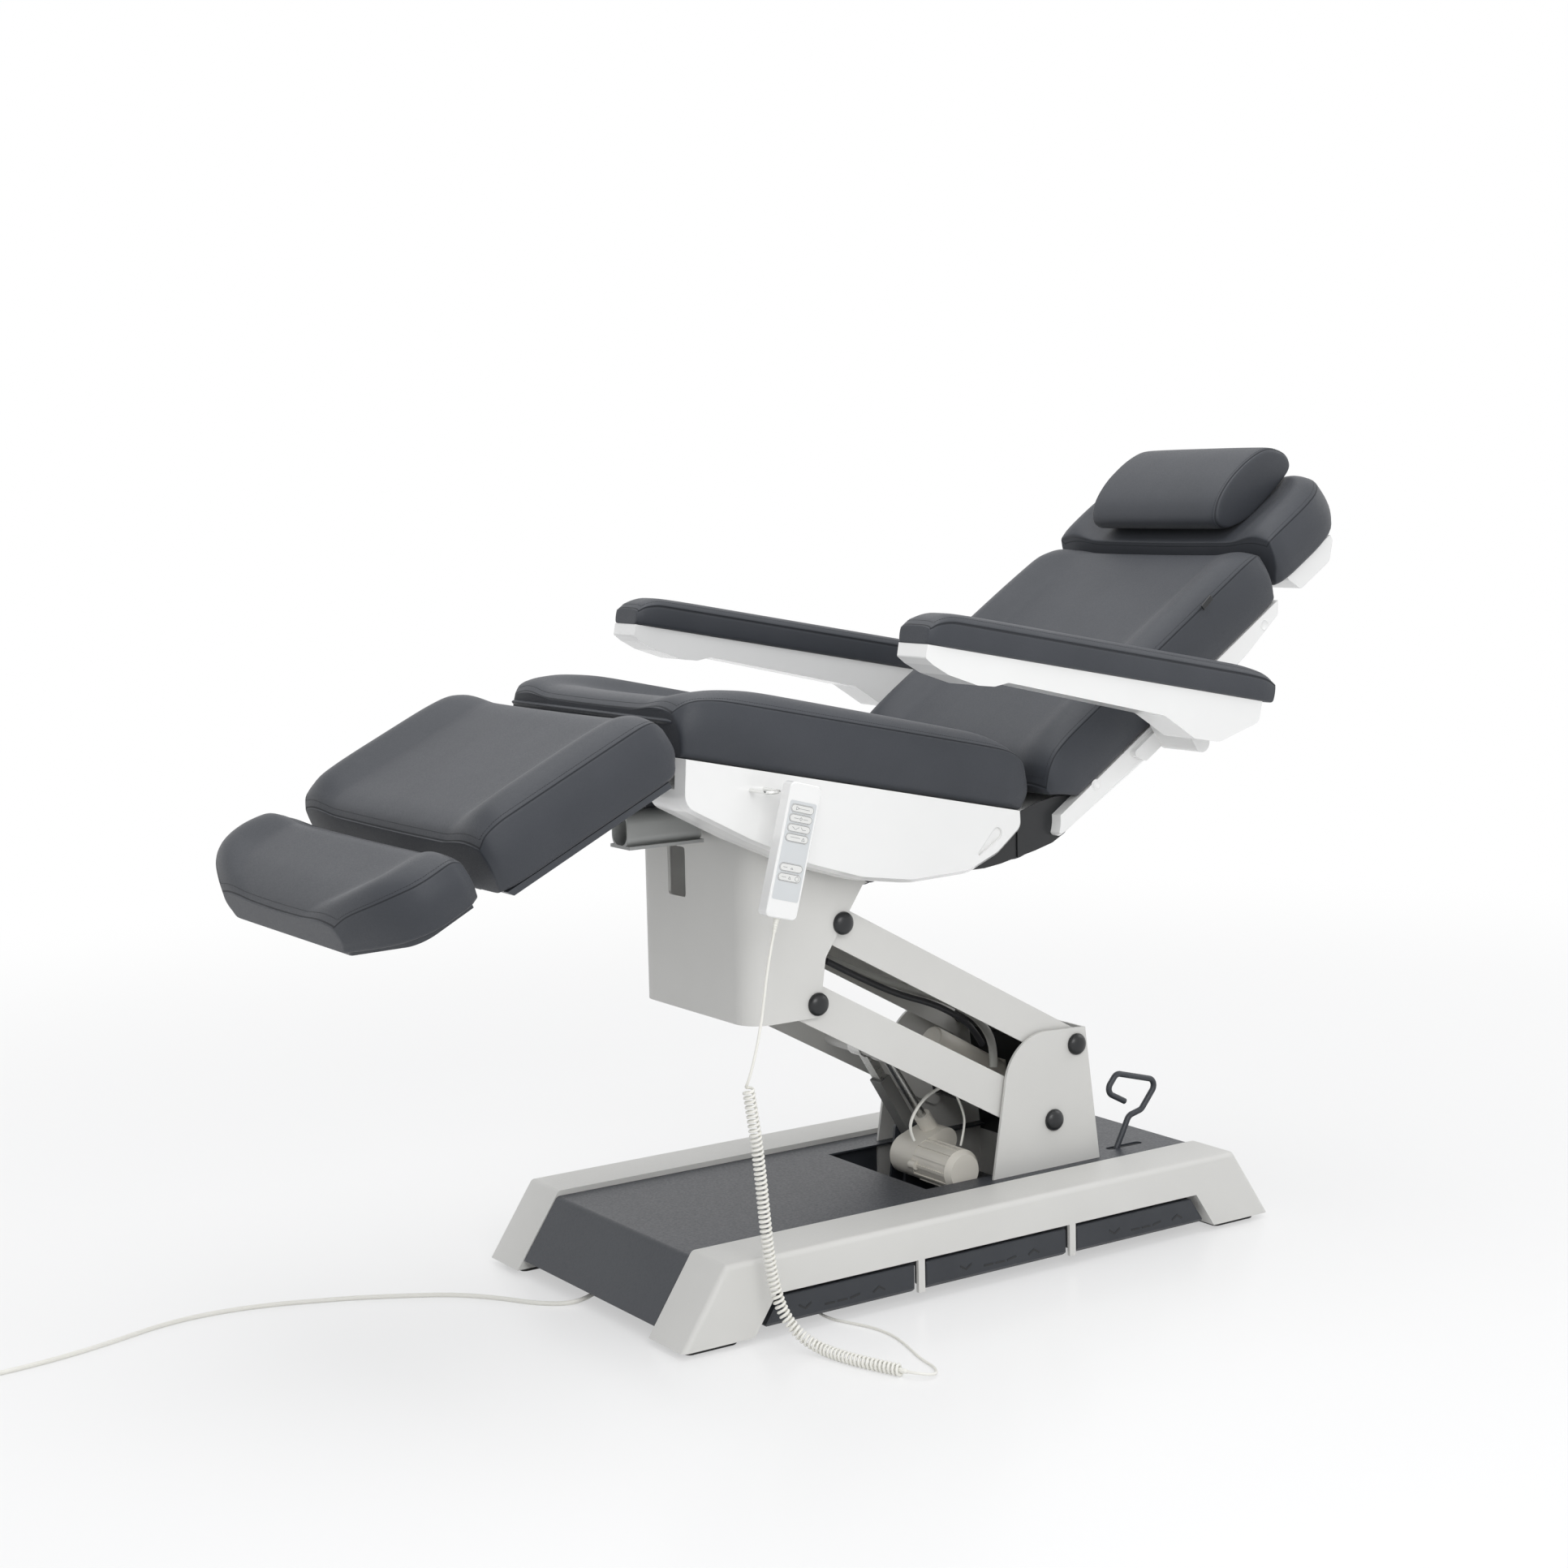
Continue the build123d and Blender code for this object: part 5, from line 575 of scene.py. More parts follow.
# %% Rows of stitches
def stitch_row(name, cushion, path, body, pitch=4.2, length=3.0, thick=0.34, closed=True):
    """Stitches along a path of points in metres, pressed onto the cushion's surface."""
    run = path + [path[0]] if closed else path
    total = line_length(run)
    count = int(total / (pitch * MM))
    points, faces, k, passed = [], [], 0, 0.0
    for i in range(count):
        along = (i + 0.5) * total / count
        while k < len(run) - 2 and passed + (run[k + 1] - run[k]).length < along:
            passed += (run[k + 1] - run[k]).length
            k += 1
        way = (run[k + 1] - run[k]).normalized()
        spot = run[k] + way * (along - passed)
        found, place, normal, _ = cushion.closest_point_on_mesh(spot)
        side = normal.cross(way).normalized()
        way = side.cross(normal).normalized()
        first = len(points)
        for end, size in ((-0.5, 0.5), (-0.3, 1.0), (0.3, 1.0), (0.5, 0.5)):
            centre = place + way * (end * length * MM) + normal * (0.10 * thick * size * MM)
            for a, b in ((1.3, 0), (0, 1), (-1.3, 0), (0, -1)):
                points.append(centre + (side * a + normal * b) * (thick * size * MM))
        for ring in range(3):
            for j in range(4):
                a, b = first + ring * 4 + j, first + ring * 4 + (j + 1) % 4
                faces.append((a, b, b + 4, a + 4))
        faces.append(tuple(first + j for j in (3, 2, 1, 0)))
        faces.append(tuple(first + 12 + j for j in range(4)))
    row = add_mesh(name, points, faces)
    row.data.materials.append(seam_thread)
    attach(row, body)
    return row


def end_distances(length, step=26.0):
    """Stations along a cushion: close together near the ends, where it rounds off."""
    near = [0, 1.8, 4.2, 7.2, 11, 17, 25, 35, 47, 61, 78]
    far = [length - v for v in reversed(near)]
    inner = max(1, round((far[0] - near[-1]) / step))
    return near + [near[-1] + (far[0] - near[-1]) * k / inner for k in range(1, inner)] + far


def make_cushion(name, node, body, piece, first, length, half, thick, top, crown, dip, bolster, rows,
                 trim=None):
    """One sewn cushion in place of its plain solid, with its row of stitches."""
    rings = []
    for distance in end_distances(length):
        wide, seam_share, crown_share = through(rows, distance / length)
        section, seam = cushion_half(half * wide, top - thick, top - thick * (1 - seam_share),
                                     crown * crown_share, dip * crown_share, bolster, thick * 0.14)
        ring = [(first + distance, y, n) for y, n in section]
        ring += [(u, -y, n) for u, y, n in reversed(ring[1:-1])]
        rings.append(ring)
    where = lambda u, y, n: on_piece(piece, u, y, n)
    cushion, sewn = padded_loft(name, rings, seam, where, trim=trim)
    count = len(rings[0])
    side, a, b = seam + 3, 3, len(rings) - 4
    path = [sewn[r][side] for r in range(a, b)] + [sewn[b][i] for i in range(side, count - side)]
    path += [sewn[r][count - side] for r in range(b, a, -1)]
    path += [sewn[a][i] for i in range(count - side, side, -1)]
    stitch_row(name + "_stitches", cushion, [where(*(trim(*p) if trim else p)) for p in path], body)
    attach(cushion, body)
    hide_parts(node)
    print(name, "faces", len(cushion.data.polygons))


# %% [markdown]
# The tables are the shares of each cushion's half width, seam height and crown at stations
# along it. The trims keep a cushion behind the slanted faces where its neighbour folds past.

# %% Seat, leg, foot, back and head cushions
def keep_after(u_low, n_low, u_high, n_high):
    """Nothing before the line between two points, below the upper one."""
    def trim(u, y, n):
        if n < n_high:
            edge = u_high + (u_low - u_high) * (n_high - n) / (n_high - n_low)
            u = max(u, edge)
        return (u, y, n)
    return trim


def keep_before(u_low, n_low, u_high, n_high):
    def trim(u, y, n):
        if n < n_high:
            edge = u_high + (u_low - u_high) * (n_high - n) / (n_high - n_low)
            u = min(u, edge)
        return (u, y, n)
    return trim


def both(one, two):
    return lambda u, y, n: two(*one(u, y, n))


make_cushion(
    "seat_pad", "seat_cushion", "seat", SEAT, 0, 650, 265, 89, 0, 21, 23, 112,
    [(0.0, 0.90, 0.68, 0.30), (0.022, 0.955, 0.87, 0.34), (0.055, 0.985, 0.96, 0.42), (0.115, 1.0, 1.0, 0.72),
     (0.225, 1.0, 1.0, 1.05), (0.55, 1.0, 1.0, 1.0), (0.850, 1.0, 1.0, 0.90), (0.912, 1.0, 0.985, 0.60),
     (0.965, 0.985, 0.87, 0.36), (1.0, 0.95, 0.55, 0.30)],
    keep_after(21, -89, 0, -24.9))
make_cushion(
    "leg_pad", "leg_cushion", "leg", LEG, -4.0, 324, 305, 93, 0, 20, 22, 120,
    [(0.0, 0.955, 0.76, 0.30), (0.045, 0.985, 0.93, 0.42), (0.14, 1.0, 1.0, 0.85), (0.30, 1.0, 1.0, 1.0),
     (0.70, 1.0, 1.0, 1.0), (0.86, 1.0, 1.0, 0.80), (0.945, 0.985, 0.95, 0.42), (1.0, 0.935, 0.72, 0.30)],
    keep_before(298.5, -93, 320, -67))
make_cushion(
    "foot_pad", "foot_cushion", "foot", LEG, -202, 162, 322, 70, -5, 18, 18, 125,
    [(0.0, 0.62, 0.60, 0.25), (0.085, 0.72, 0.80, 0.40), (0.215, 0.855, 0.93, 0.66), (0.39, 0.957, 1.0, 0.92),
     (0.62, 1.0, 1.0, 1.0), (0.87, 0.99, 1.0, 0.72), (1.0, 0.947, 0.82, 0.36)])
make_cushion(
    "back_pad", "back_cushion", "back", BACK, -573.5, 572, 272, 92, 0, 20, 22, 112,
    [(0.0, 0.95, 0.50, 0.30), (0.03, 0.985, 0.80, 0.36), (0.075, 1.0, 0.96, 0.52), (0.15, 1.0, 1.0, 0.85),
     (0.28, 1.0, 1.0, 1.0), (0.70, 1.0, 1.0, 1.0), (0.90, 1.0, 1.0, 0.85), (0.975, 0.985, 0.96, 0.40),
     (1.0, 0.95, 0.86, 0.28)],
    both(keep_after(-529.5, -92, -565.5, -60.7), keep_before(-19.5, -92, -1.5, -13.8)))


def head_trim(u, y, n):
    if n > -63.2:
        u = max(u, -18 + 18 * min(1.0, (n + 63.2) / 68.6))
    if u > 110:
        floor = -79 + 12.6 * (u - 110) / 30 if u < 140 else -66.4 + 53.8 * (u - 140) / 60
        n = max(n, floor)
    return (u, y, n)


make_cushion(
    "head_pad", "head_cushion", "head", HEAD, -18, 218, 272, 79, 0, 18, 20, 105,
    [(0.0, 0.955, 0.86, 0.28), (0.05, 0.985, 0.96, 0.42), (0.18, 1.0, 1.0, 0.85), (0.45, 1.0, 1.0, 1.0),
     (0.64, 0.985, 1.0, 1.0), (0.80, 0.91, 1.0, 0.80), (0.92, 0.77, 0.93, 0.50), (1.0, 0.60, 0.74, 0.26)],
    head_trim)

# %% [markdown]
# The pillow is a filled roll with a flat underside and a sewn end panel at each side. Its rings
# stand across the chair, so the loft's end rings carry its seams, and the whole ring is sewn.

# %% Pillow roll
PILLOW = [(0.36, 0.0), (0.70, 0.05), (0.98, 0.16), (1.03, 0.40), (0.97, 0.66), (0.86, 0.88), (0.70, 0.98),
          (0.52, 1.0), (0.32, 0.95), (0.13, 0.80), (0.02, 0.58), (0.0, 0.38), (0.06, 0.18), (0.19, 0.06)]
PILLOW_LENGTH, PILLOW_HEIGHT, PILLOW_REST = 196.0, 82.0, -1.7


def rounded_outline(points, steps=4):
    """A closed outline through smooth arcs near its corner points."""
    out, count = [], len(points)
    for i in range(count):
        p0, p1, p2, p3 = (Vector(points[(i + k) % count]) for k in (-1, 0, 1, 2))
        for j in range(steps):
            t = j / steps
            out.append(0.5 * ((2 * p1) + (p2 - p0) * t + (2 * p0 - 5 * p1 + 4 * p2 - p3) * t * t
                              + (3 * p1 - p0 - 3 * p2 + p3) * t ** 3))
    return out


outline = rounded_outline(PILLOW)
rings = []
half_sizes = [(155, 0.955), (153.5, 0.972), (150, 0.986), (144, 0.996), (130, 1.0), (100, 1.004), (60, 1.006),
              (20, 1.006)]
for y, size in [(-y, size) for y, size in half_sizes] + half_sizes[::-1]:
    rings.append([(PILLOW_LENGTH * (0.5 + (a - 0.5) * size), y,
                   PILLOW_REST + PILLOW_HEIGHT * (0.03 + (b - 0.03) * size)) for a, b in outline])
pillow, sewn = padded_loft("pillow_roll", rings, 1, lambda u, y, n: on_piece(HEAD, u, y, n),
                           bulge=3.5, groove=1.1, axis=1)
for k, side in ((2, -1), (len(rings) - 3, 1)):
    stitch_row("pillow_stitches_" + ("near" if side < 0 else "far"), pillow,
               [on_piece(HEAD, *p) for p in sewn[k]], "head")
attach(pillow, "head")
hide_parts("pillow")

# %% [markdown]
# The armrest pads are long and narrow, with one low crown and the seam at their top edge.

# %% Armrest pads
ARM_ROWS = [(0.0, 0.86, 0.60, 0.30), (0.02, 0.95, 0.85, 0.60), (0.06, 1.0, 1.0, 0.90), (0.16, 1.0, 1.0, 1.0),
            (0.88, 1.0, 1.0, 1.0), (0.96, 0.98, 0.95, 0.80), (1.0, 0.90, 0.75, 0.45)]


def arm_section(half, seam, crown, corner=6.0):
    points = [(share * (half - corner), 0.0) for share in (0, 0.5, 1.0)]
    for a in (math.radians(degrees) for degrees in (30, 60, 90)):
        points.append((half - corner + corner * math.sin(a), corner * (1 - math.cos(a))))
    for t in (0.3, 0.6, 0.85):
        points.append((half + 0.8 * math.sin(math.pi * t), corner + (seam - corner - 1.5) * t))
    points += [(half, seam - 1.2), (half - 0.5, seam)]
    at_seam = len(points) - 1
    for a in (math.radians(degrees) for degrees in (7, 16, 40, 55, 68, 80)):
        points.append((half * (0.35 + 0.65 * math.cos(a)), seam + crown * math.sin(a)))
    points += [(half * 0.35, seam + crown), (0, seam + crown)]
    return points, at_seam


for side, word in SIDES:
    rings = []
    for distance in end_distances(683, 40.0):
        wide, seam_share, crown_share = through(ARM_ROWS, distance / 683)
        section, seam = arm_section(40 * wide, 36 * seam_share, 15 * crown_share)
        rings.append([(distance, y, n) for y, n in section]
                     + [(distance, -y, n) for y, n in reversed(section[1:-1])])
    where = lambda u, y, n, side=side: on_piece(ARMREST, u, side * 400 + y, n)
    pad, sewn = padded_loft("armrest_cover_" + word, rings, seam, where, groove=0.8)
    count, a, b, top = len(rings[0]), 3, len(rings) - 4, seam + 3
    path = [sewn[r][top] for r in range(a, b)] + [sewn[b][i] for i in range(top, count - top)]
    path += [sewn[r][count - top] for r in range(b, a, -1)]
    path += [sewn[a][i] for i in range(count - top, top, -1)]
    stitch_row("armrest_stitches_" + word, pad, [where(*p) for p in path], "armrest_" + word)
    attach(pad, "armrest_" + word)
    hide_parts("armrest_pad_" + word)

# %% [markdown]
# ## The frame's own parts
#
# The steel and plastic nodes keep their CAD shape. Each gets its finish, and most get a fine
# bevel: a real folded sheet or moulding has no razor edge, and the small round catches the light.

# %% Finishes on the frame
FINISH = {
    "rail_near": light_coat, "rail_far": light_coat, "pads_near": pad_rubber, "pads_far": pad_rubber,
    "base_cover": dark_coat, "chassis": dark_coat, "tower": light_coat, "lower_arm": light_coat,
    "upper_arm": light_coat, "column_box": light_coat, "rear_drive": motor_plastic,
    "lift_drive": motor_plastic, "lift_rod": rod_steel, "prop_sleeve": strut_coat, "prop_rod": rod_steel,
    "seat_frame": dark_coat, "seat_cover": white_shell, "leg_drive": grey_plastic,
    "handset_hook": bright_chrome, "handset": white_moulding, "leg_frame": dark_coat,
    "foot_frame": dark_coat, "back_shell": white_shell, "armrest_bracket_near": white_moulding,
    "armrest_bracket_far": white_moulding, "head_shell": white_shell, "armrest_frame_near": white_moulding,
    "armrest_frame_far": white_moulding, "rear_lever": dark_coat, "mains_plug": cord_sheath}
ROUND = {"handset": 0.6, "mains_plug": 0.5, "rear_lever": 0.0, "handset_hook": 0.0, "tower": 0.5,
         "lower_arm": 0.5, "upper_arm": 0.5, "back_shell": None, "seat_cover": None, "head_shell": None,
         "rear_drive": 0.5, "lift_drive": 0.5}


def dress(node, finish, radius):
    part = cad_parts[node]
    part.data.materials.clear()
    part.data.materials.append(finish)
    for face in part.data.polygons:
        face.use_smooth = True
        face.material_index = 0
    if radius is None:          # a large smooth shell keeps the CAD's own normals
        return part
    weld = part.modifiers.new("joined", "WELD")
    weld.merge_threshold = 0.00002
    if radius:
        bevel = part.modifiers.new("edges", "BEVEL")
        bevel.width = radius * MM
        bevel.segments = 2
        bevel.limit_method = "ANGLE"
        bevel.angle_limit = math.radians(28)
        bevel.harden_normals = False
        bevel.use_clamp_overlap = True
    normals = part.modifiers.new("even_faces", "WEIGHTED_NORMAL")
    normals.keep_sharp = True
    return part


for node, finish in FINISH.items():
    dress(node, finish, ROUND.get(node, 1.0))
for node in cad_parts:
    if node.startswith("pedal_"):
        dress(node, pedal_plastic, 1.2)
    if node.startswith("button_"):
        dress(node, key_face, 0.3)

# %% [markdown]
# Where a cord leaves a housing it wears a short tapered sleeve with rings, so that it can't be
# bent sharply there. One helper turns such a sleeve from a profile of (distance, radius).

# %% Turned sleeves
def turned(name, base, way, profile, finish, body, sides=28):
    """A solid of revolution from a point along a direction; profile rows are (distance, radius) in mm."""
    way = way.normalized()
    side = way.cross(Vector((0, 1, 0)))
    side = side.normalized() if side.length > 0.1 else way.cross(Vector((1, 0, 0))).normalized()
    up = way.cross(side)
    points, faces = [], []
    for distance, radius in profile:
        for k in range(sides):
            a = 2 * math.pi * k / sides
            around = (side * math.cos(a) + up * math.sin(a)) * (radius * MM)
            points.append(base + way * (distance * MM) + around)
    for r in range(len(profile) - 1):
        for k in range(sides):
            a, b = r * sides + k, r * sides + (k + 1) % sides
            faces.append((a, b, b + sides, a + sides))
    faces.append(tuple(range(sides - 1, -1, -1)))
    faces.append(tuple((len(profile) - 1) * sides + k for k in range(sides)))
    made = add_mesh(name, points, faces)
    made.data.materials.append(finish)
    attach(made, body)
    return made


def ribbed(first, last, length, ribs):
    """Profile of a tapered relief with ribs."""
    rows = [(0, first * 0.92), (0.6, first)]
    for k in range(ribs):
        for share, size in ((0.15, 1.0), (0.55, 1.0), (0.65, 0.86), (0.95, 0.86)):
            t = (k + share) / ribs
            rows.append((0.6 + (length - 1.2) * t, (first + (last - first) * t) * size))
    return rows + [(length - 0.3, last), (length, last * 0.85)]


turned("mains_relief", mm(-499.5, 22, 23), Vector((-1, 0, 0)), ribbed(6.4, 4.3, 20, 5), cord_sheath, "base")
turned("handset_relief", relief_at - down * 0.5 * MM, down, ribbed(5.0, 2.9, 24, 6), cord_sheath, "seat")
cord_sleeve = turned("cord_sleeve", curl_end - end_way * 9 * MM, end_way,
                     [(0, 2.6), (0.8, 3.2), (4, 3.5), (12, 3.5), (15.2, 3.2), (16, 2.6)], cord_sheath, "seat")

# %% [markdown]
# Each pivot shaft ends in a pressed-on black cap with a short shank and a domed face, so that
# no bare steel end shows. The shaft and both caps are turned as one profile; the caps are wider
# than the shaft and stand 4 mm past its ends.

# %% Domed pivot caps
SHAFTS = {"shaft_tower_lower": (225, 197, "base"), "shaft_tower_upper": (274, 316, "base"),
          "shaft_box_lower": (-236.81, 450.88, "column"), "shaft_box_upper": (-187.81, 569.88, "column"),
          "shaft_tilt": (-135.01, 644.98, "column")}
SHAFT_HALF = 168.0
dome = [(-4.0, 0.6), (-3.6, 5.0), (-2.6, 9.4), (-1.0, 13.0), (1.2, 15.8), (3.6, 17.4), (6.0, 18.0),
        (8.4, 17.6), (9.6, 16.4), (9.9, 14.4), (13.0, 14.3)]
both_domes = dome + [(2 * SHAFT_HALF - d, r) for d, r in reversed(dome)]
for node, (x, z, body) in SHAFTS.items():
    near_end = mm(x, -SHAFT_HALF, z)
    shaft = turned(node + "_caps", near_end, Vector((0, 1, 0)), both_domes, cap_plastic, body, 40)
    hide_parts(node)
print("caps", len(SHAFTS) * 2)

# %% [markdown]
# Printed marks are thin strokes standing a tenth of a millimetre or so off their surface. A
# stroke is a line of points on a surface, widened to both sides, so one helper draws the key
# outlines, the plain signs on them and the moulded marks of the pedals.

# %% Strokes on a surface
def stroke_mesh(name, place, lines, width, low, high, finish, body):
    """Raised strokes. place(u, v, out) gives metres; lines are (points, closed) in mm."""
    points, faces = [], []
    for line, closed in lines:
        count, first = len(line), len(points)
        for k, (u, v) in enumerate(line):
            before = line[k - 1] if k or closed else (2 * u - line[1][0], 2 * v - line[1][1])
            beyond = (2 * u - line[k - 1][0], 2 * v - line[k - 1][1])
            after = line[(k + 1) % count] if k < count - 1 or closed else beyond
            one = Vector((u - before[0], v - before[1])).normalized()
            two = Vector((after[0] - u, after[1] - v)).normalized()
            way = (one + two).normalized()
            half = width / 2 / max(0.5, way.dot(one))
            for side in (-1, 1):
                for out in (low, high):
                    points.append(place(u - side * way.y * half, v + side * way.x * half, out))
        for k in range(count if closed else count - 1):
            a, b = first + 4 * k, first + 4 * ((k + 1) % count)
            faces += [(a + 1, b + 1, b + 3, a + 3), (a, a + 1, b + 1, b), (a + 2, b + 2, b + 3, a + 3)]
        if not closed:
            last = first + 4 * (count - 1)
            faces += [(first, first + 1, first + 3, first + 2), (last, last + 2, last + 3, last + 1)]
    made = add_mesh(name, points, faces, smooth=False)
    made.data.materials.append(finish)
    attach(made, body)
    return made


def pill(width, height, cx=0.0, cy=0.0, steps=8):
    """The outline of a slot with round ends."""
    r, run = height / 2, width / 2 - height / 2
    ends = [(run, -90), (-run, 90)]
    return [(cx + x + r * math.cos(math.radians(a + 180 * k / steps)),
             cy + r * math.sin(math.radians(a + 180 * k / steps))) for x, a in ends for k in range(steps + 1)]


# %% [markdown]
# The handset's face is a light-grey foil with six windows, through which the keys stand 0.8 mm
# out. Each key has a printed outline and a plain sign for its movement: no lettering.

# %% Handset foil and key signs
KEYS = [60.5, 46.5, 32.5, 18.5, -24.0, -38.0]


def on_face(x, y, out):
    return mm(-393, -336 - out, 720) + (Vector((math.cos(lean), 0, -math.sin(lean))) * x
                                        + Vector((math.sin(lean), 0, math.cos(lean))) * y) * MM


def rounded_box(x0, x1, y0, y1, r, steps=5):
    corners = [(x1 - r, y1 - r, 0), (x0 + r, y1 - r, 90), (x0 + r, y0 + r, 180), (x1 - r, y0 + r, 270)]
    return [(cx + r * math.cos(math.radians(a + 90 * k / steps)),
             cy + r * math.sin(math.radians(a + 90 * k / steps)))
            for cx, cy, a in corners for k in range(steps + 1)]


loops = [rounded_box(-23, 23, -71, 71, 3.0)] + [pill(41.0, 12.5, 0, y) for y in KEYS]
flat = [[Vector((x, y, 0)) for x, y in loop] for loop in loops]
foil = add_mesh("handset_foil", [on_face(x, y, 0.25) for loop in loops for x, y in loop],
                [tuple(f) for f in tessellate_polygon(flat)], smooth=False)
foil.data.materials.append(key_overlay)
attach(foil, "seat")
signs = [
    [[(-6, 0), (-11, 2.4), (-11, -2.4), (-6, 0), (12, 0)]],
    [[(-12, 0), (-4, 0)], [(0, -2.2), (2.2, 0), (0, 2.2), (-2.2, 0), (0, -2.2)], [(4, 0), (12, 0)]],
    [[(-12, 1.5), (-6, -2.2), (0, 2.0)], [(3, 2.4), (6, -1.0), (12, -0.6)]],
    [[(-12, 0.8), (5, 0.8)], [(8, -2.2), (10.6, 2.2), (13, -2.2), (8, -2.2)]],
    [[(-14, 0), (-7, 0)], [(-1, -1.6), (1, 0.6), (3, -1.6), (-1, -1.6)]],
    [[(-14, 0), (-6, 0)], [(-2, -1.8), (0, 1.6), (2, -1.8), (-2, -1.8)]]]
for k, y in enumerate(KEYS):
    marks = [(pill(38.4, 9.9, 0, y), True)] + [([(u, v + y) for u, v in line], False) for line in signs[k]]
    if k == 5:
        marks.append(([(13 + 3.2 * math.cos(math.radians(a)), y + 3.2 * math.sin(math.radians(a)))
                       for a in range(0, 360, 24)], True))
    stroke_mesh(f"key_sign_{k + 1}", on_face, marks, 0.55, 0.78, 0.88, key_line, f"button_{k + 1}")
print("foil with", len(KEYS), "windows")

# %% [markdown]
# Each pedal bar rocks two ways, so a down mark stands near one end, an up mark near the other
# and three bars between them. They are moulded in black, half a millimetre proud.

# %% Pedal marks
PEDAL_FACE = 292.0
PEDAL_SIGN = [[(-78, 42), (-67, 35), (-56, 42)], [(56, 34), (67, 41), (78, 34)], [(-32, 34), (-14, 34)],
              [(-9, 34), (9, 34)], [(14, 34), (32, 37)]]
for side, word in SIDES:
    for centre, spot in ((-294, "foot"), (5, "middle"), (306, "head")):
        lines = [([(centre + u, v) for u, v in line], False) for line in PEDAL_SIGN]
        stroke_mesh(f"pedal_marks_{word}_{spot}", lambda u, v, out, s=side: mm(u, s * (PEDAL_FACE + out), v),
                    lines, 3.0, -0.3, 0.45, cap_plastic, f"pedal_{word}_{spot}")

# %% [markdown]
# Hoses and leads run to the drives: two motor leads in beige sheath, and two hoses that are
# clipped under the upper arm and dip into the tower.

# %% Hoses and motor leads
def hose(name, route, radius, finish, body):
    made = cord_curve(name, [mm(*p) for p in route], radius * MM, 4)
    made.data.resolution_u = 8
    made.data.materials.append(finish)
    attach(made, body)
    return made


hose("hose_under_arm",
     [(-150, -60, 492), (-96, -60, 462), (-14, -60, 421), (56, -62, 397), (107, -62, 369), (141, -58, 344),
      (166, -50, 312)], 5.2, hose_rubber, "upper_link")
hose("pale_hose_under_arm",
     [(-140, -36, 494), (-60, -36, 455), (20, -38, 424), (96, -40, 396), (150, -40, 366), (180, -40, 338),
      (198, -40, 304), (196, -42, 268)], 7.0, clear_hose, "upper_link")
hose("motor_lead_near",
     [(-2, -84, 184), (-9, -82, 200), (-4, -80, 220), (18, -76, 242), (48, -68, 254), (92, -50, 256)],
     2.6, cord_sheath, "drive")
hose("motor_lead_rear",
     [(92, -84, 160), (103, -82, 190), (104, -78, 214), (96, -70, 240)], 2.0, cord_sheath, "drive")

# %% [markdown]
# Where the seat and leg cushions part, the seat's cover has a soft apron that reaches forward
# under the roll, so that no frame shows through the gap. It is leatherette over a strip of foam
# and rides with the seat.

# %% Apron at the fold
def flap(name, start, end, thick_way, wide, thick, body, steps=26, sides=20):
    """A flattened roll between two points, with round ends."""
    way = (end - start).normalized()
    thick_way = (thick_way - way * thick_way.dot(way)).normalized()
    wide_way = way.cross(thick_way)
    length = (end - start).length
    cap = wide / 2 * MM
    points, faces = [], []
    for i in range(steps + 1):
        s = (1 - math.cos(math.pi * i / steps)) / 2
        from_end = min(s, 1 - s) * length
        size = math.sqrt(max(0.0, 1 - (1 - min(1.0, from_end / cap)) ** 2)) if from_end < cap else 1.0
        size = max(size, 0.03)
        for k in range(sides):
            a = 2 * math.pi * k / sides
            points.append(start + way * (s * length) + wide_way * (math.cos(a) * wide / 2 * MM * size)
                          + thick_way * (math.sin(a) * thick / 2 * MM * size ** 0.6))
    for i in range(steps):
        for k in range(sides):
            a, b = i * sides + k, i * sides + (k + 1) % sides
            faces.append((a, b, b + sides, a + sides))
    faces += [tuple(range(sides - 1, -1, -1)), tuple(steps * sides + k for k in range(sides))]
    made = add_mesh(name, points, faces)
    made.data.materials.append(upholstery)
    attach(made, body)
    return made


apron = flap("seat_apron", mm(-512, -236, 903), mm(-512, 252, 903), Vector((0.25, 0, 1)), 40, 11, "seat")
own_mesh(apron)
print("apron made")

# %% [markdown]
# Behind the white pod the picture shows a dark housing up to the back shell, in front of the hinge
# arms. How it is made is a guess: two thin moulded cheeks each side, one on the seat and one that
# swings with the back and slides over it. A black sheet stands at the tower's rear panel; it is
# painted shadow, not a real piece, so that the tower's inside reads dark where shade falls.

# %% Hinge skirt and the tower's painted shadow sheet
def cheek(name, outline, y0, y1, finish, body):
    n = len(outline)
    points = [mm(x, y, z) for y in (y0, y1) for x, z in outline]
    faces = [tuple(range(n)), tuple(range(2 * n - 1, n - 1, -1))]
    faces += [(i, n + i, n + (i + 1) % n, (i + 1) % n) for i in range(n)]
    made = add_mesh(name, points, faces, smooth=False)
    made.data.materials.append(finish)
    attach(made, body)
    return made


skirt_front = [(-8, 641), (26, 641), (59, 645), (92, 652), (104, 655), (104, 716), (60, 715), (20, 690),
               (-8, 662)]
skirt_rear = [(90, 652), (125, 659), (160, 668), (185, 681), (205, 700), (204, 739), (163, 740), (130, 734),
              (90, 721)]
for side, word in SIDES:
    cheek(f"hinge_skirt_front_{word}", skirt_front, side * 237, side * 238.6, cap_plastic, "seat")
    cheek(f"hinge_skirt_rear_{word}", skirt_rear, side * 239, side * 241, cap_plastic, "back")
# black sheet at the tower's rear panel: painted shadow, not a real piece
cheek("tower_painted_shadow_sheet", [(318.4, 106), (319, 106), (294, 308), (293.4, 308)], -150, 150, cap_plastic, "base")
print("skirt in two cheeks each side")

# %% [markdown]
# The back shell's screws hide under small round plugs, and a small bare tab is sewn into the
# back cushion's near seam.

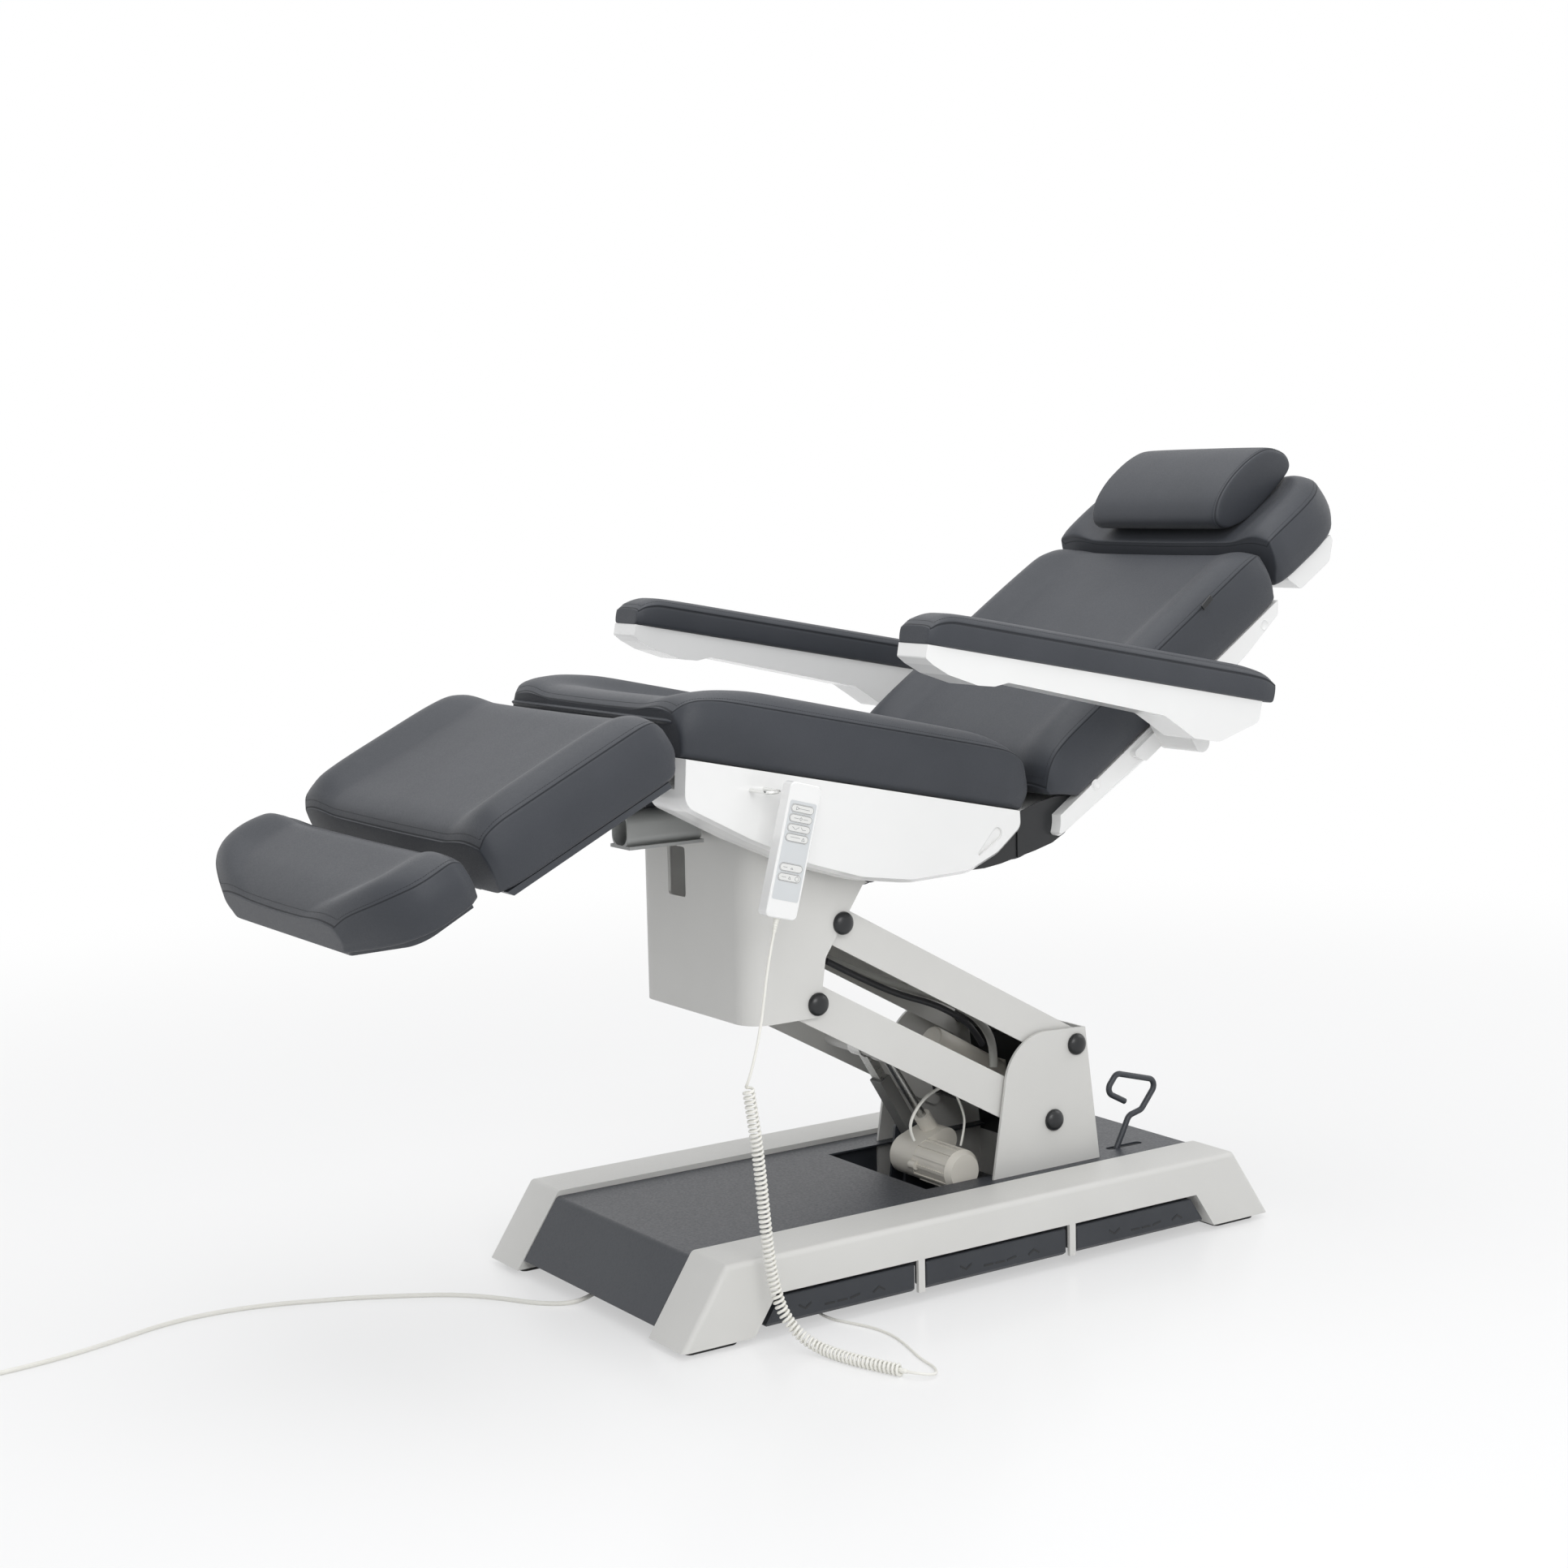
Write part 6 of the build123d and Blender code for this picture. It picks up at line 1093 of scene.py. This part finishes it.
# %% Plugs and the bare tab
plug_rows = [(-0.6, 9.0), (0.5, 9.0), (0.9, 8.5), (0.9, 7.4), (0.2, 7.0), (0.2, 0.4)]
for k, (x, z) in enumerate(((232, 755), (598, 988))):
    for side, word in SIDES:
        turned(f"screw_plug_{k + 1}_{word}", mm(x, side * 262, z), Vector((0, side, 0)), plug_rows,
               white_moulding, "back", 32)
tab_way = Vector((0.76, 0, 0.65))
tab_up = Vector((-0.65, 0, 0.76))
tab_at = mm(459, -274, 1031)
corners = [tab_at + tab_way * (a * 13 * MM) + tab_up * (b * 4.5 * MM) + Vector((0, c * 1.6 * MM, 0))
           for c in (-1, 1) for a, b in ((-1, -1), (1, -1), (1, 1), (-1, 1))]
box_faces = [(0, 1, 2, 3), (7, 6, 5, 4), (0, 4, 5, 1), (1, 5, 6, 2), (2, 6, 7, 3), (3, 7, 4, 0)]
tab = add_mesh("back_tab", corners, box_faces, smooth=False)
tab.data.materials.append(cap_plastic)
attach(tab, "back")
rim = tab.modifiers.new("edges", "BEVEL")
rim.width, rim.segments = 0.9 * MM, 3

# %% [markdown]
# ## Cords on their bodies
#
# The cords were drawn first. Now each is tied to the body that carries it.

mains_lead.data.materials.append(cord_sheath)
curly_cord.data.materials.append(cord_sheath)
cord_tail.data.materials.append(cord_sheath)
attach(mains_lead, "base")
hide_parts("mains_cord", "mains_coil")
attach(curly_cord, "seat")
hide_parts("handset_cord")
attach(cord_tail, "base")
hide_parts("handset_cord_tail")

# %% [markdown]
# ## Studio
#
# A pale floor and soft light. The floor is a large disc whose far part turns to plain white for
# the camera, so no horizon shows. Its near part keeps the chair's shadow and a faint reflection.

# %% Floor
def maths(tree, operation, one, two):
    """A maths node of two sockets."""
    made = tree.nodes.new("ShaderNodeMath")
    made.operation = operation
    tree.links.new(one, made.inputs[0])
    tree.links.new(two, made.inputs[1])
    return made.outputs["Value"]


floor = add_mesh("studio_floor", [(math.cos(math.radians(a)) * 14, math.sin(math.radians(a)) * 14, 0)
                                  for a in range(0, 360, 6)], [tuple(range(60))])
paper = bpy.data.materials.new("pale_floor")
paper.use_nodes = True
tree = paper.node_tree
shader = tree.nodes["Principled BSDF"]
shader.inputs["Base Color"].default_value = (0.86, 0.86, 0.86, 1)
shader.inputs["Roughness"].default_value = 0.24
shader.inputs["Specular IOR Level"].default_value = 0.35
white = tree.nodes.new("ShaderNodeEmission")
white.inputs["Color"].default_value = (1, 1, 1, 1)
far_mix = tree.nodes.new("ShaderNodeMixShader")
where = tree.nodes.new("ShaderNodeTexCoord")
reach = tree.nodes.new("ShaderNodeVectorMath")
reach.operation = "LENGTH"
tree.links.new(where.outputs["Object"], reach.inputs[0])
fade = tree.nodes.new("ShaderNodeMapRange")
fade.interpolation_type = "SMOOTHSTEP"
fade.inputs["From Min"].default_value = 1.2
fade.inputs["From Max"].default_value = 4.0
fade.inputs["To Min"].default_value = 0.5
tree.links.new(reach.outputs["Value"], fade.inputs["Value"])
ray = tree.nodes.new("ShaderNodeLightPath")
seen = maths(tree, "MAXIMUM", ray.outputs["Is Camera Ray"], ray.outputs["Is Glossy Ray"])
tree.links.new(maths(tree, "MULTIPLY", fade.outputs["Result"], seen), far_mix.inputs[0])
tree.links.new(shader.outputs["BSDF"], far_mix.inputs[1])
tree.links.new(white.outputs["Emission"], far_mix.inputs[2])
tree.links.new(far_mix.outputs["Shader"], tree.nodes["Material Output"].inputs["Surface"])
floor.data.materials.append(paper)

# %% World and lamps
world = bpy.data.worlds.new("soft_white")
bpy.context.scene.world = world
world.use_nodes = True
tree = world.node_tree
plain = tree.nodes["Background"]
plain.inputs["Color"].default_value = (0.97, 0.98, 1.0, 1)
plain.inputs["Strength"].default_value = 0.62
backdrop = tree.nodes.new("ShaderNodeBackground")
backdrop.inputs["Color"].default_value = (1, 1, 1, 1)
backdrop.inputs["Strength"].default_value = 1.0
ray = tree.nodes.new("ShaderNodeLightPath")
seen = maths(tree, "MAXIMUM", ray.outputs["Is Camera Ray"], ray.outputs["Is Glossy Ray"])
seen = maths(tree, "MAXIMUM", seen, ray.outputs["Is Transmission Ray"])
mix = tree.nodes.new("ShaderNodeMixShader")
tree.links.new(seen, mix.inputs[0])
tree.links.new(plain.outputs["Background"], mix.inputs[1])
tree.links.new(backdrop.outputs["Background"], mix.inputs[2])
tree.links.new(mix.outputs["Shader"], tree.nodes["World Output"].inputs["Surface"])


def softbox(name, place, aim, size, power):
    lamp = bpy.data.lights.new(name, "AREA")
    lamp.shape = "RECTANGLE"
    lamp.size, lamp.size_y = size
    lamp.energy = power
    made = bpy.data.objects.new(name, lamp)
    bpy.context.scene.collection.objects.link(made)
    made.location = place
    made.rotation_euler = (Vector(aim) - Vector(place)).to_track_quat("-Z", "Y").to_euler()
    return made


softbox("overhead_softbox", (-0.3, 0.0, 3.4), (0, 0, 0.5), (3.2, 2.4), 46)
softbox("front_softbox", (-1.4, -3.2, 2.2), (0, 0, 0.7), (2.2, 1.6), 44)
softbox("head_end_softbox", (3.0, -1.2, 2.4), (0.3, 0, 0.8), (1.6, 1.6), 14)
bpy.context.scene.view_settings.view_transform = "Standard"
